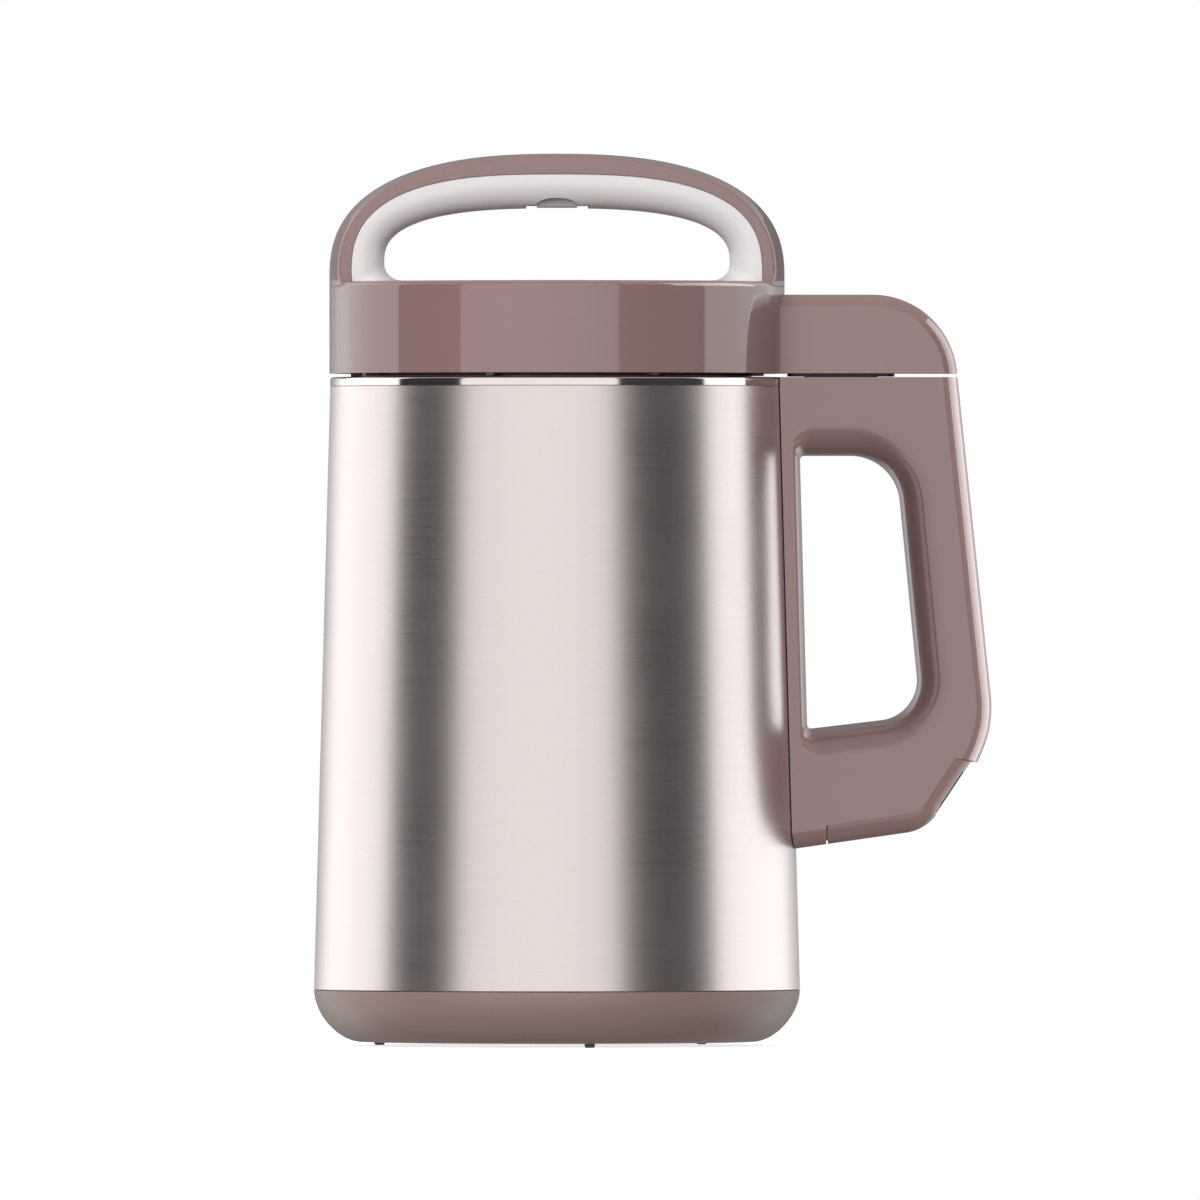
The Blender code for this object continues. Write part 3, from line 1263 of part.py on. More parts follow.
def make_head_base(head):
    """Underside of the head with the spigot that enters the cup and the pads on its rim."""
    outer = LID_RADIUS - LID_WALL - FIT_GAP
    bore = HOUSING_RADIUS + FIT_GAP
    inner_spigot = SPIGOT_RADIUS - SPIGOT_WALL
    outline = [(bore, 0), (inner_spigot, 0), (inner_spigot, -SPIGOT_DEPTH)]
    outline += [(SPIGOT_RADIUS, -SPIGOT_DEPTH), (SPIGOT_RADIUS, 0), (outer, 0)]
    outline += [(outer, HEAD_BASE_TOP), (bore, HEAD_BASE_TOP)]
    base = turned_piece("head_base", outline, BIG_STEPS, "brown_base", head)
    reach = arm_corners(ARM_WALL)[2].x - FIT_GAP * 2 - SIDE_LEAN_SHARE * (HEAD_BASE_TOP + CUT_OVERRUN)
    half_depth = HANDLE_HALF_DEPTH - ARM_WALL - FIT_GAP
    bm = bmesh.new()
    add_block(bm, (SPIGOT_RADIUS + CUT_OVERRUN, -half_depth, 0), (reach, half_depth, HEAD_BASE_TOP))
    work(base, tool("arm_floor_shape", bm, head), "UNION")
    pads = bmesh.new()
    foot = FIT_GAP - LID_GAP
    inner, end = PAD_RING_RADIUS - PAD_LENGTH / 2, PAD_RING_RADIUS + PAD_LENGTH / 2
    for index in range(PAD_COUNT):
        turn = FIRST_PAD_ANGLE - math.pi / 2 + math.tau * index / PAD_COUNT
        add_block(pads, (inner, -PAD_WIDTH / 2, foot), (end, PAD_WIDTH / 2, HEAD_BASE_TOP / 2), turn)
    work(base, tool("rim_pad_shapes", pads, head), "UNION")
    cuts = bmesh.new()
    half_length = PLUG_HALF_NOSE + FIT_GAP
    half_depth = PLUG_HALF_DEPTH + FIT_GAP
    low = (COUPLER_REACH - half_length, -half_depth, -CUT_OVERRUN)
    add_block(cuts, low, (COUPLER_REACH + half_length, half_depth, HEAD_BASE_TOP + CUT_OVERRUN))
    for angle, radius in ((OVERFLOW_ANGLE, OVERFLOW_RADIUS), (TEMPERATURE_ANGLE, TEMPERATURE_RADIUS)):
        x, y = PROBE_RING_RADIUS * math.cos(angle), PROBE_RING_RADIUS * math.sin(angle)
        ends = ((x, y, -CUT_OVERRUN), (x, y, HEAD_BASE_TOP + CUT_OVERRUN))
        add_rod(cuts, *ends, radius + FIT_GAP, SMALL_STEPS)
    work(base, tool("head_base_cuts", cuts, head))


def make_plug(head):
    """Coupler plug through the arm's floor, with its three pins."""
    half_length, half_depth = PLUG_HALF_NOSE, PLUG_HALF_DEPTH
    foot = HEAD_BASE_TOP + FIT_GAP
    top = foot + PLUG_FLANGE_HEIGHT
    wide = PLUG_FLANGE_WIDTH
    bm = bmesh.new()
    low = (COUPLER_REACH - half_length - wide, -half_depth - wide, foot)
    add_block(bm, low, (COUPLER_REACH + half_length + wide, half_depth + wide, top))
    plug = piece("coupler_plug", bm, "dark_plastic", head)
    bm = bmesh.new()
    low = (COUPLER_REACH - half_length, -half_depth, -PLUG_NOSE_DEPTH)
    add_block(bm, low, (COUPLER_REACH + half_length, half_depth, foot + PLUG_FLANGE_HEIGHT / 2))
    work(plug, tool("plug_nose_shape", bm, head), "UNION")
    holes = bmesh.new()
    for reach in pin_reaches():
        ends = ((reach, 0, -PLUG_NOSE_DEPTH - CUT_OVERRUN), (reach, 0, top + CUT_OVERRUN))
        add_rod(holes, *ends, PIN_RADIUS + FIT_GAP, SMALL_STEPS)
    work(plug, tool("plug_pin_holes", holes, head))
    height = PIN_DROP + top + PIN_TAIL
    outline = [(0, 0), (PIN_RADIUS, 0), (PIN_RADIUS, height), (0, height)]
    for number, reach in enumerate(pin_reaches(), 1):
        turned_piece(f"coupler_pin_{number}", outline, SMALL_STEPS, "brass", head, (reach, 0, -PIN_DROP))


def arch(half_width, height, power, base):
    """Superellipse arch points from its right end over the crown to its left end."""
    quarter = [(x, base + z) for x, z in quarter_curve(half_width, height, power, BAIL_STEPS)]
    left = [(-x, z) for x, z in reversed(quarter[:-1])]
    return quarter + left


def bail_levels():
    """Heights in the bail: its foot, where its curves spring from, and its crown."""
    foot = LID_HEIGHT + FIT_GAP
    spring = LID_HEIGHT + BAIL_SHOULDER
    return foot, spring, LID_HEIGHT + BAIL_HEIGHT


def make_bail_cover(head):
    """Brown outside of the bail: a slice of a dome with a channel on its inner side."""
    foot, spring, crown = bail_levels()
    dome = quarter_curve(LID_RADIUS, crown - spring, BAIL_OUTER_POWER, BAIL_STEPS)
    outline = [(0, foot), (LID_RADIUS, foot)]
    outline += [(radius, spring + height) for radius, height in dome]
    cover = turned_piece("bail_cover", outline, BIG_STEPS, "brown_gloss", head)
    bm = bmesh.new()
    reach = LID_RADIUS + CUT_OVERRUN
    low = (-reach, -BAIL_HALF_DEPTH, foot - CUT_OVERRUN)
    add_block(bm, low, (reach, BAIL_HALF_DEPTH, crown + CUT_OVERRUN))
    work(cover, tool("bail_slice", bm, head), "INTERSECT")
    seam = arch(BAIL_SEAM_HALF_WIDTH, crown - BAIL_SEAM_DROP - spring, BAIL_SEAM_POWER, spring)
    low = foot - CUT_OVERRUN
    bm = bmesh.new()
    feet = [(-BAIL_SEAM_HALF_WIDTH, low), (BAIL_SEAM_HALF_WIDTH, low)]
    add_prism(bm, seam + feet, BAIL_HALF_DEPTH + CUT_OVERRUN)
    work(cover, tool("bail_inside_cut", bm, head))
    half_depth = BAIL_HALF_DEPTH - BAIL_CHANNEL_WALL
    half_width = math.sqrt(LID_RADIUS**2 - half_depth**2) - BAIL_CHANNEL_SKIN
    bm = bmesh.new()
    add_prism(bm, arch(half_width, crown - BAIL_CHANNEL_SKIN - spring, BAIL_OUTER_POWER, spring), half_depth)
    work(cover, tool("bail_channel_cut", bm, head))


def liner_stations():
    """Pairs of outer and inner points round the liner, from its right foot to its left foot."""
    foot, spring, crown = bail_levels()
    half_width = BAIL_SEAM_HALF_WIDTH - FIT_GAP
    height = crown - BAIL_SEAM_DROP - FIT_GAP - spring
    outer = quarter_curve(half_width, height, BAIL_SEAM_POWER, BAIL_STEPS)
    open_base = foot + LINER_FOOT_LIP + OPEN_FOOT_RADIUS
    open_height = crown - OPEN_DROP - open_base
    inner = quarter_curve(OPEN_HALF_WIDTH, open_height, OPEN_POWER, BAIL_STEPS)
    right = []
    centre = (OPEN_HALF_WIDTH - OPEN_FOOT_RADIUS, open_base)
    toe = arc(centre, OPEN_FOOT_RADIUS, -math.pi / 2, 0, FILLET_STEPS)
    right.append(((half_width, foot), (toe[0][0], foot)))
    for index, point in enumerate(toe[:-1]):
        rise = (spring - foot) * (index + 1) / (len(toe) + 1)
        right.append(((half_width, foot + rise), point))
    for (out_x, out_z), (in_x, in_z) in zip(outer, inner):
        right.append(((out_x, spring + out_z), (in_x, open_base + in_z)))
    left = [((-a[0], a[1]), (-b[0], b[1])) for a, b in reversed(right[:-1])]
    return right + left


def make_bail_liner(head):
    """Silver inside of the bail, with its edges rounded towards the hand."""
    half_depth = BAIL_HALF_DEPTH - FIT_GAP
    bm = bmesh.new()
    rings = []
    for (out_x, out_z), (in_x, in_z) in liner_stations():
        outer, inner = Vector((out_x, 0, out_z)), Vector((in_x, 0, in_z))
        across = (outer - inner).normalized()
        edge = min(LINER_EDGE, (outer - inner).length * 2 / 3)
        ring = [outer + Vector((0, -half_depth, 0))]
        for sign in (-1, 1):
            turn = []
            for step in range(EDGE_STEPS + 1):
                angle = math.pi / 2 * step / EDGE_STEPS
                back = edge * (1 - math.sin(angle))
                depth = half_depth - edge * (1 - math.cos(angle))
                turn.append(inner + across * back + Vector((0, sign * depth, 0)))
            ring += turn if sign < 0 else reversed(turn)
        ring.append(outer + Vector((0, half_depth, 0)))
        rings.append(ring)
    add_skin(bm, rings)
    liner = piece("bail_liner", bm, "silver_satin", head)
    crown = bail_levels()[2] - OPEN_DROP
    bm = bmesh.new()
    low = (-PLUG_HALF_LENGTH - FIT_GAP, -PLUG_HALF_WIDTH - FIT_GAP, crown - CUT_OVERRUN)
    high = (PLUG_HALF_LENGTH + FIT_GAP, PLUG_HALF_WIDTH + FIT_GAP, crown + PLUG_POCKET_DEPTH)
    add_block(bm, low, high)
    work(liner, tool("bail_pocket_cut", bm, head))
    bm = bmesh.new()
    top = PLUG_POCKET_DEPTH - FIT_GAP
    low = (-PLUG_HALF_LENGTH, -PLUG_HALF_WIDTH, -PLUG_PROUD)
    add_block(bm, low, (PLUG_HALF_LENGTH, PLUG_HALF_WIDTH, top))
    piece("bail_plug", bm, "grey_plastic", head, (0, 0, crown))


def make_panel(head):
    """Control panel in the lid's top, its buttons and the board under them."""
    bm = bmesh.new()
    add_plate(bm, filleted(panel_corners(0)), 0, PANEL_THICKNESS)
    panel = piece("control_panel", bm, "dark_plastic", head, (0, 0, PANEL_FLOOR + FIT_GAP))
    holes = bmesh.new()
    for x in button_places():
        ends = ((x, 0, PANEL_FLOOR - CUT_OVERRUN), (x, 0, LID_HEIGHT + CUT_OVERRUN))
        add_rod(holes, *ends, BUTTON_RADIUS + FIT_GAP, ROUND_STEPS)
    work(panel, tool("panel_button_holes", holes, head))
    cap_top = LID_HEIGHT + BUTTON_PROUD
    cap_foot = cap_top - BUTTON_CAP_HEIGHT
    stem_foot = BOARD_TOP + BUTTON_TRAVEL + FIT_GAP
    outline = [(0, stem_foot - cap_foot), (BUTTON_STEM_RADIUS, stem_foot - cap_foot)]
    outline += [(BUTTON_STEM_RADIUS, 0), (BUTTON_RADIUS, 0), (BUTTON_RADIUS, BUTTON_CAP_HEIGHT)]
    outline += [(0, BUTTON_CAP_HEIGHT)]
    names = ("grain_button", "bean_button", "start_button")
    for name, x in zip(names, button_places()):
        turned_piece(name, outline, ROUND_STEPS, "button_plastic", head, (x, 0, cap_foot))
    bm = bmesh.new()
    low = (-BOARD_HALF_LENGTH, -BOARD_HALF_WIDTH, -BOARD_THICKNESS)
    add_block(bm, low, (BOARD_HALF_LENGTH, BOARD_HALF_WIDTH, 0))
    piece("control_board", bm, "board_green", head, (0, 0, BOARD_TOP))


# Motor, its housing and what hangs under it


def make_housing(head):
    """Steel sleeve that hangs into the cup with the motor in it, and the seal under its flange."""
    inner = HOUSING_INNER_RADIUS
    flange_top = FLANGE_FOOT + HOUSING_WALL
    corner = -HOUSING_DEPTH + HOUSING_FILLET
    centre_reach = HOUSING_RADIUS - HOUSING_FILLET
    outside = arc((centre_reach, corner), HOUSING_FILLET, 0, -math.pi / 2, EDGE_STEPS)
    inside = arc((centre_reach, corner), HOUSING_FILLET - HOUSING_WALL, -math.pi / 2, 0, EDGE_STEPS)
    neck_inner = NECK_RADIUS - HOUSING_WALL
    outline = [(inner, flange_top), (HOUSING_FLANGE_RADIUS, flange_top)]
    outline += [(HOUSING_FLANGE_RADIUS, FLANGE_FOOT), (HOUSING_RADIUS, FLANGE_FOOT)]
    outline += [*outside, (NECK_RADIUS, -HOUSING_DEPTH), (NECK_RADIUS, NECK_FOOT)]
    outline += [(neck_inner, NECK_FOOT), (neck_inner, HOUSING_FLOOR), *inside]
    turned_piece("motor_housing", outline, ROUND_STEPS * 3 // 2, "polished_steel", head)
    start = HOUSING_RADIUS + SEAL_INSET
    ring = ring_outline(start, start + SEAL_WIDTH, 0, SEAL_HEIGHT)
    turned_piece("housing_seal", ring, ROUND_STEPS, "silicone", head, (0, 0, SEAL_FOOT))
    height = NECK_HEIGHT - FIT_GAP
    ring = ring_outline(SHAFT_RADIUS + FIT_GAP, neck_inner - FIT_GAP, 0, height)
    turned_piece("shaft_seal", ring, ROUND_STEPS, "rubber", head, (0, 0, NECK_FOOT + FIT_GAP / 2))


def make_stationary_motor(head):
    """Stator, both brackets, both bearings and the two brushes."""
    hub = BEARING_RADIUS + FIT_GAP
    hub_outer = hub + BRACKET_HUB_WALL
    rim = MOTOR_RADIUS - BRACKET_RIM_WALL
    foot = HOUSING_FLOOR + FIT_GAP
    plate_foot = BRACKET_PLATE_TOP - BRACKET_PLATE_WALL
    outline = [(hub, foot), (hub_outer, foot), (hub_outer, plate_foot), (MOTOR_RADIUS, plate_foot)]
    outline += [(MOTOR_RADIUS, STATOR_FOOT - FIT_GAP), (rim, STATOR_FOOT - FIT_GAP)]
    outline += [(rim, BRACKET_PLATE_TOP), (hub, BRACKET_PLATE_TOP)]
    turned_piece("motor_bracket_lower", outline, ROUND_STEPS, "aluminium", head)
    bearing = ring_outline(SHAFT_RADIUS + FIT_GAP, BEARING_RADIUS, 0, BEARING_HEIGHT)
    turned_piece("lower_bearing", bearing, ROUND_STEPS, "dull_steel", head, (0, 0, foot))
    outline = [(STATOR_BORE_RADIUS, 0), (COIL_INNER_RADIUS, 0), (COIL_INNER_RADIUS, -COIL_HEIGHT)]
    outline += [(COIL_OUTER_RADIUS, -COIL_HEIGHT), (COIL_OUTER_RADIUS, 0), (MOTOR_RADIUS, 0)]
    outline += [(MOTOR_RADIUS, STATOR_HEIGHT), (COIL_OUTER_RADIUS, STATOR_HEIGHT)]
    outline += [(COIL_OUTER_RADIUS, STATOR_HEIGHT + COIL_HEIGHT)]
    outline += [(COIL_INNER_RADIUS, STATOR_HEIGHT + COIL_HEIGHT), (COIL_INNER_RADIUS, STATOR_HEIGHT)]
    outline += [(STATOR_BORE_RADIUS, STATOR_HEIGHT)]
    turned_piece("motor_stator", outline, ROUND_STEPS, "copper_winding", head, (0, 0, STATOR_FOOT))
    make_upper_bracket(head)
    top = UPPER_BRACKET_TOP
    turned_piece("upper_bearing", bearing, ROUND_STEPS, "dull_steel", head, (0, 0, top - BEARING_HEIGHT))


def make_upper_bracket(head):
    """Bridge over the stator that holds the upper bearing and the two brush holders."""
    hub = BEARING_RADIUS + FIT_GAP
    hub_outer = hub + BRACKET_HUB_WALL
    rim = MOTOR_RADIUS - BRACKET_RIM_WALL
    foot, top = UPPER_BRACKET_FOOT, UPPER_BRACKET_TOP
    plate_foot = top - BRACKET_PLATE_WALL
    hub_foot = top - BEARING_HEIGHT
    outline = [(rim, foot), (MOTOR_RADIUS, foot), (MOTOR_RADIUS, top), (hub, top), (hub, hub_foot)]
    outline += [(hub_outer, hub_foot), (hub_outer, plate_foot), (rim, plate_foot)]
    bracket = turned_piece("motor_bracket_upper", outline, ROUND_STEPS, "aluminium", head)
    holders = bmesh.new()
    bores = bmesh.new()
    start = COMMUTATOR_RADIUS + AIR_GAP * 2
    end = rim + BRACKET_RIM_WALL / 2
    wide = BRUSH_HALF_WIDTH + FIT_GAP
    high = BRUSH_HALF_HEIGHT + FIT_GAP
    wall = BRUSH_HOLDER_WALL
    for turn in (0, math.pi):
        low = (start, -wide - wall, BRUSH_LEVEL - high - wall)
        add_block(holders, low, (end, wide + wall, BRUSH_LEVEL + high + wall), turn)
        low = (start - CUT_OVERRUN, -wide, BRUSH_LEVEL - high)
        far = COMMUTATOR_RADIUS + BRUSH_LENGTH + AIR_GAP + FIT_GAP
        add_block(bores, low, (far, wide, BRUSH_LEVEL + high), turn)
    work(bracket, tool("brush_holder_shapes", holders, head), "UNION")
    work(bracket, tool("brush_bores", bores, head))
    for number, side in enumerate((1, -1), 1):
        bm = bmesh.new()
        half = (BRUSH_LENGTH / 2, BRUSH_HALF_WIDTH, BRUSH_HALF_HEIGHT)
        add_block(bm, [-size for size in half], half)
        reach = COMMUTATOR_RADIUS + FIT_GAP + BRUSH_LENGTH / 2
        piece(f"carbon_brush_{number}", bm, "carbon", head, (side * reach, 0, BRUSH_LEVEL))


def make_rotor(spin):
    """Everything that turns: shaft, armature, commutator, fan, blade and its nut."""
    top = UPPER_BRACKET_TOP + SHAFT_TOP_STAND
    tip = nut_foot() - SHAFT_TIP_STAND
    outline = [(0, tip), (SHAFT_RADIUS, tip), (SHAFT_RADIUS, top), (0, top)]
    turned_piece("motor_shaft", outline, ROUND_STEPS, "dull_steel", spin)
    core = STATOR_BORE_RADIUS - AIR_GAP
    bore = ROTOR_BORE_RADIUS
    coil = ROTOR_COIL_HEIGHT
    outline = [(bore, -coil), (ROTOR_COIL_RADIUS, -coil), (ROTOR_COIL_RADIUS, 0), (core, 0)]
    outline += [(core, STATOR_HEIGHT), (ROTOR_COIL_RADIUS, STATOR_HEIGHT)]
    outline += [(ROTOR_COIL_RADIUS, STATOR_HEIGHT + coil), (bore, STATOR_HEIGHT + coil)]
    turned_piece("armature", outline, ROUND_STEPS, "copper_winding", spin, (0, 0, STATOR_FOOT))
    ring = ring_outline(bore, COMMUTATOR_RADIUS, 0, COMMUTATOR_HEIGHT)
    turned_piece("commutator", ring, ROUND_STEPS, "copper_winding", spin, (0, 0, COMMUTATOR_FOOT))
    make_fan(spin)
    make_blade(spin)


def make_fan(spin):
    """Cooling fan under the stator: a disc and hub with straight blades."""
    level = BRACKET_PLATE_TOP + CUT_OVERRUN
    bore = ROTOR_BORE_RADIUS
    outline = [(bore, 0), (FAN_RADIUS, 0), (FAN_RADIUS, FAN_DISC_HEIGHT)]
    outline += [(FAN_HUB_RADIUS, FAN_DISC_HEIGHT), (FAN_HUB_RADIUS, FAN_HEIGHT), (bore, FAN_HEIGHT)]
    fan = turned_piece("cooling_fan", outline, ROUND_STEPS, "dark_plastic", spin, (0, 0, level))
    blades = bmesh.new()
    half = FAN_BLADE_THICKNESS / 2
    start = (bore + FAN_HUB_RADIUS) / 2
    end = FAN_RADIUS - FAN_BLADE_THICKNESS
    for index in range(FAN_BLADE_COUNT):
        turn = math.tau * index / FAN_BLADE_COUNT
        low = (start, -half, FAN_DISC_HEIGHT / 2)
        add_block(blades, low, (end, half, FAN_HEIGHT - FAN_DISC_HEIGHT / 2), turn)
    work(fan, tool("fan_blade_shapes", blades, spin, (0, 0, level)), "UNION")


def make_blade(spin):
    """Cross blade with two arms bent up and two bent down, and the nut under it."""
    bm = bmesh.new()
    sides = BLADE_ARMS * 4
    bore = ROTOR_BORE_RADIUS
    inner = [bm.verts.new((x, y, 0)) for x, y in ring_places(sides, bore, 0)]
    outer = [bm.verts.new((x, y, 0)) for x, y in ring_places(sides, BLADE_HUB_RADIUS, 0)]
    for index in range(sides):
        after = (index + 1) % sides
        bm.faces.new((inner[index], inner[after], outer[after], outer[index]))
    bend_radius = BLADE_HUB_RADIUS + (BLADE_RADIUS - BLADE_HUB_RADIUS) * BLADE_BEND_START_SHARE
    for arm in range(BLADE_ARMS):
        first = arm * 4
        root = [outer[first], outer[first + 1], outer[first + 2]]
        middle = root[1].co.normalized()
        across = (root[2].co - root[0].co) / 2
        rise = BLADE_BEND if arm % 2 else -BLADE_BEND
        rows = [root]
        for radius, share, lift in ((bend_radius, 1, 0), (BLADE_RADIUS, BLADE_TIP_SHARE, rise)):
            centre = middle * radius + Vector((0, 0, lift))
            row = [centre - across * share, centre, centre + across * share]
            rows.append([bm.verts.new(point) for point in row])
        for row, next_row in zip(rows, rows[1:]):
            for index in range(len(row) - 1):
                bm.faces.new((row[index], row[index + 1], next_row[index + 1], next_row[index]))
    blade = piece("blade", bm, "polished_steel", spin, (0, 0, BLADE_LEVEL))
    wall = blade.modifiers.new("thickness", "SOLIDIFY")
    wall.thickness = BLADE_THICKNESS
    wall.offset = 0
    top = (0, 0, BLADE_LEVEL - BLADE_THICKNESS / 2 - FIT_GAP)
    foot = (0, 0, nut_foot())
    bm = bmesh.new()
    add_rod(bm, foot, top, NUT_RADIUS, NUT_SIDES)
    nut = piece("blade_nut", bm, "dull_steel", spin)
    bm = bmesh.new()
    overrun = Vector((0, 0, CUT_OVERRUN))
    add_rod(bm, Vector(foot) - overrun, Vector(top) + overrun, bore, ROUND_STEPS)
    work(nut, tool("nut_bore_cut", bm, spin))


def nut_foot():
    """Underside of the blade's nut."""
    return BLADE_LEVEL - BLADE_THICKNESS / 2 - FIT_GAP - NUT_HEIGHT


def make_guard(head):
    """Bell round the blade, open underneath, with slots in its side."""
    collar = NECK_RADIUS + FIT_GAP
    top = NECK_FOOT + GUARD_COLLAR_HEIGHT
    foot = NECK_FOOT - GUARD_DEPTH + NECK_HEIGHT
    shoulder = NECK_FOOT
    wall = GUARD_WALL
    turn = GUARD_RADIUS - GUARD_SHOULDER_RADIUS
    centre = (GUARD_SHOULDER_RADIUS, shoulder - turn)
    outside = arc(centre, turn, 0, math.pi / 2, FILLET_STEPS)
    inside = arc(centre, turn - wall, math.pi / 2, 0, FILLET_STEPS)
    outline = [(collar, top), (collar, shoulder - wall), *inside]
    outline += [(GUARD_RADIUS - wall, foot), (GUARD_RADIUS, foot), *outside]
    outline += [(collar + wall, shoulder), (collar + wall, top)]
    guard = turned_piece("grinder_guard", outline, ROUND_STEPS, "polished_steel", head)
    bm = bmesh.new()
    low = foot + GUARD_SLOT_LIFT
    high = shoulder - turn - GUARD_SLOT_HEADROOM
    reach = GUARD_RADIUS + CUT_OVERRUN
    start = GUARD_SHOULDER_RADIUS
    for index in range(GUARD_SLOT_PAIRS * 2):
        angle = math.pi * (index + 1 / 2) / GUARD_SLOT_PAIRS
        half = GUARD_SLOT_HALF_WIDTH
        add_block(bm, (start, -half, low), (reach, half, high), angle)
    work(guard, tool("guard_slots", bm, head))


def make_probes(head):
    """Overflow and temperature probes hanging from the head's base."""
    probes = (
        ("overflow_probe", OVERFLOW_ANGLE, OVERFLOW_RADIUS, OVERFLOW_LENGTH),
        ("temperature_probe", TEMPERATURE_ANGLE, TEMPERATURE_RADIUS, HOUSING_DEPTH),
    )
    foot = HEAD_BASE_TOP + FIT_GAP
    for name, angle, radius, length in probes:
        tip = arc((0, -length + radius), radius, -math.pi / 2, 0, EDGE_STEPS)
        outline = [*tip, (radius, foot), (PROBE_HEAD_RADIUS, foot)]
        outline += [(PROBE_HEAD_RADIUS, foot + PROBE_HEAD_HEIGHT), (0, foot + PROBE_HEAD_HEIGHT)]
        x, y = PROBE_RING_RADIUS * math.cos(angle), PROBE_RING_RADIUS * math.sin(angle)
        turned_piece(name, outline, SMALL_STEPS, "polished_steel", head, (x, y, 0))


def build():
    """The whole machine."""
    for obj in list(bpy.data.objects):
        bpy.data.objects.remove(obj, do_unlink=True)
    shift = (SHELL_FOOT_RADIUS - handle_reach()) / 2
    body = mark("body_axis", None, (shift, 0, 0))
    inlet = inlet_mark(body)
    head = mark("head_lift_axis", body, (0, 0, LID_UNDERSIDE))
    spin = mark("blade_spin_axis", head)

    skin = SHELL_WALL + FIT_GAP + BACKING_WALL + CUT_OVERRUN
    through = fixing_bores("fixing_through_cuts", SCREW_SHANK_RADIUS + FIT_GAP, skin, skin + CUT_OVERRUN, body)
    pilot_depth = HANDLE_SCREW_LENGTH + CUT_OVERRUN
    pilots = fixing_bores("fixing_pilot_cuts", SCREW_SHANK_RADIUS + FIT_GAP, CUT_OVERRUN, pilot_depth, body)
    leads = lead_bore(body)

    make_base(body)
    make_base_screws(body)
    make_feet(body)
    make_shell(body, (through, leads))
    make_cup(body)
    make_heater(body)
    make_handle(body, inlet, (pilots, leads))
    make_backing(body, (through,))
    make_socket(body)
    make_inlet(inlet)
    make_wiring(body, inlet)

    make_head_shell(head)
    make_head_base(head)
    make_plug(head)
    make_bail_cover(head)
    make_bail_liner(head)
    make_panel(head)
    make_housing(head)
    make_stationary_motor(head)
    make_guard(head)
    make_probes(head)
    make_rotor(spin)


build()
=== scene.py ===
"""Looks of the soy milk maker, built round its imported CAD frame. Metres, +Z up. Pieces are
modelled on the body's own axis and moved to the frame at the end. The handle points to +X."""

import json
from collections import namedtuple
from math import atan2, cos, copysign, hypot, pi, radians, sin, sqrt, tan, tau

import bmesh
import bpy
from mathutils import Matrix, Vector

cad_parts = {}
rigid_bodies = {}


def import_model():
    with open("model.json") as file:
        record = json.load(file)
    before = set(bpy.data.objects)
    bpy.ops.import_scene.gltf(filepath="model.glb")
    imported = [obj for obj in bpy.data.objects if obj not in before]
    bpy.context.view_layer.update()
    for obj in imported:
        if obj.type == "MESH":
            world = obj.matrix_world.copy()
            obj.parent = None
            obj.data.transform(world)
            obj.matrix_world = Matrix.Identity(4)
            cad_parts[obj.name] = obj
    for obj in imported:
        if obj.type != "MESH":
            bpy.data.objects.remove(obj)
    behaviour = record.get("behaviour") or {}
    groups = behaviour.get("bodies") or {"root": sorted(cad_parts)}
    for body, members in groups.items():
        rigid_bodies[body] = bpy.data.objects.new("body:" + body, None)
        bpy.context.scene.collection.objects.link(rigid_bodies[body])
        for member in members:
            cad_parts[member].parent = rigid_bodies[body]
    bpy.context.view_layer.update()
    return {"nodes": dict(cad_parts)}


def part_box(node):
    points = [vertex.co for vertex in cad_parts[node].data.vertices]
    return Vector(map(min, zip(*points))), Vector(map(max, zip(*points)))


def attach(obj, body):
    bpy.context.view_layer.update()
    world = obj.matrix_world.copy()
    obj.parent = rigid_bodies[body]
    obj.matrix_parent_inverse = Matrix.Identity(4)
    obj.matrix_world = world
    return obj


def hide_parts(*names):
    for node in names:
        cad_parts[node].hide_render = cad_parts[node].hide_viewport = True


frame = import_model()

# Fits and facets
GAP = 0.0003
OVERRUN = 0.002
MERGE = 0.000001
AROUND = 192
AROUND_SMALL = 48
AROUND_BORE = 24
AROUND_PIN = 32
TURN_STEPS = 12
EDGE_STEPS = 10
CORNER_STEP = radians(5)
SHARP_ANGLE = radians(26)

# Jug
FOOT_HEIGHT = 0.0015
BASE_TOP = 0.0206
BASE_FLAT_RADIUS = 0.073
BASE_CURVE_POWER = 1.75
BASE_WALL = 0.0022
BASE_LIP_HEIGHT = 0.006
SHELL_HEIGHT = 0.2235
SHELL_FOOT_RADIUS = 0.0899
SHELL_TOP_RADIUS = 0.0839
SHELL_WALL = 0.0008
RIM_TOP = 0.2473
RIM_UNDERSIDE = 0.2441
CUP_FLOOR = 0.0361
CUP_MOUTH_RADIUS = 0.073
CUP_FLOOR_RADIUS = 0.0705
CUP_CORNER_RADIUS = 0.015
CUP_WALL = 0.0008
POST_RING_RADIUS = 0.05
POST_RADIUS = 0.0045
FOOT_RING_RADIUS = 0.07
FOOT_NECK_RADIUS = 0.0019
FIRST_FOOT_ANGLE = radians(40)
FIRST_POST_ANGLE = radians(90)
BOSS_RADIUS = 0.0062
BOSS_TOP = 0.0142
RECESS_DEPTH = 0.0045
SCREW_HEAD_RADIUS = 0.0034
SCREW_HEAD_HEIGHT = 0.0024
SCREW_SHANK_RADIUS = 0.0016
SCREW_LENGTH = 0.016
CROSS_REACH = 0.0019
CROSS_HALF_WIDTH = 0.00035
CROSS_DEPTH = 0.0012
FOOT_HEAD_RADIUS = 0.0032
FOOT_HEAD_HEIGHT = 0.0012

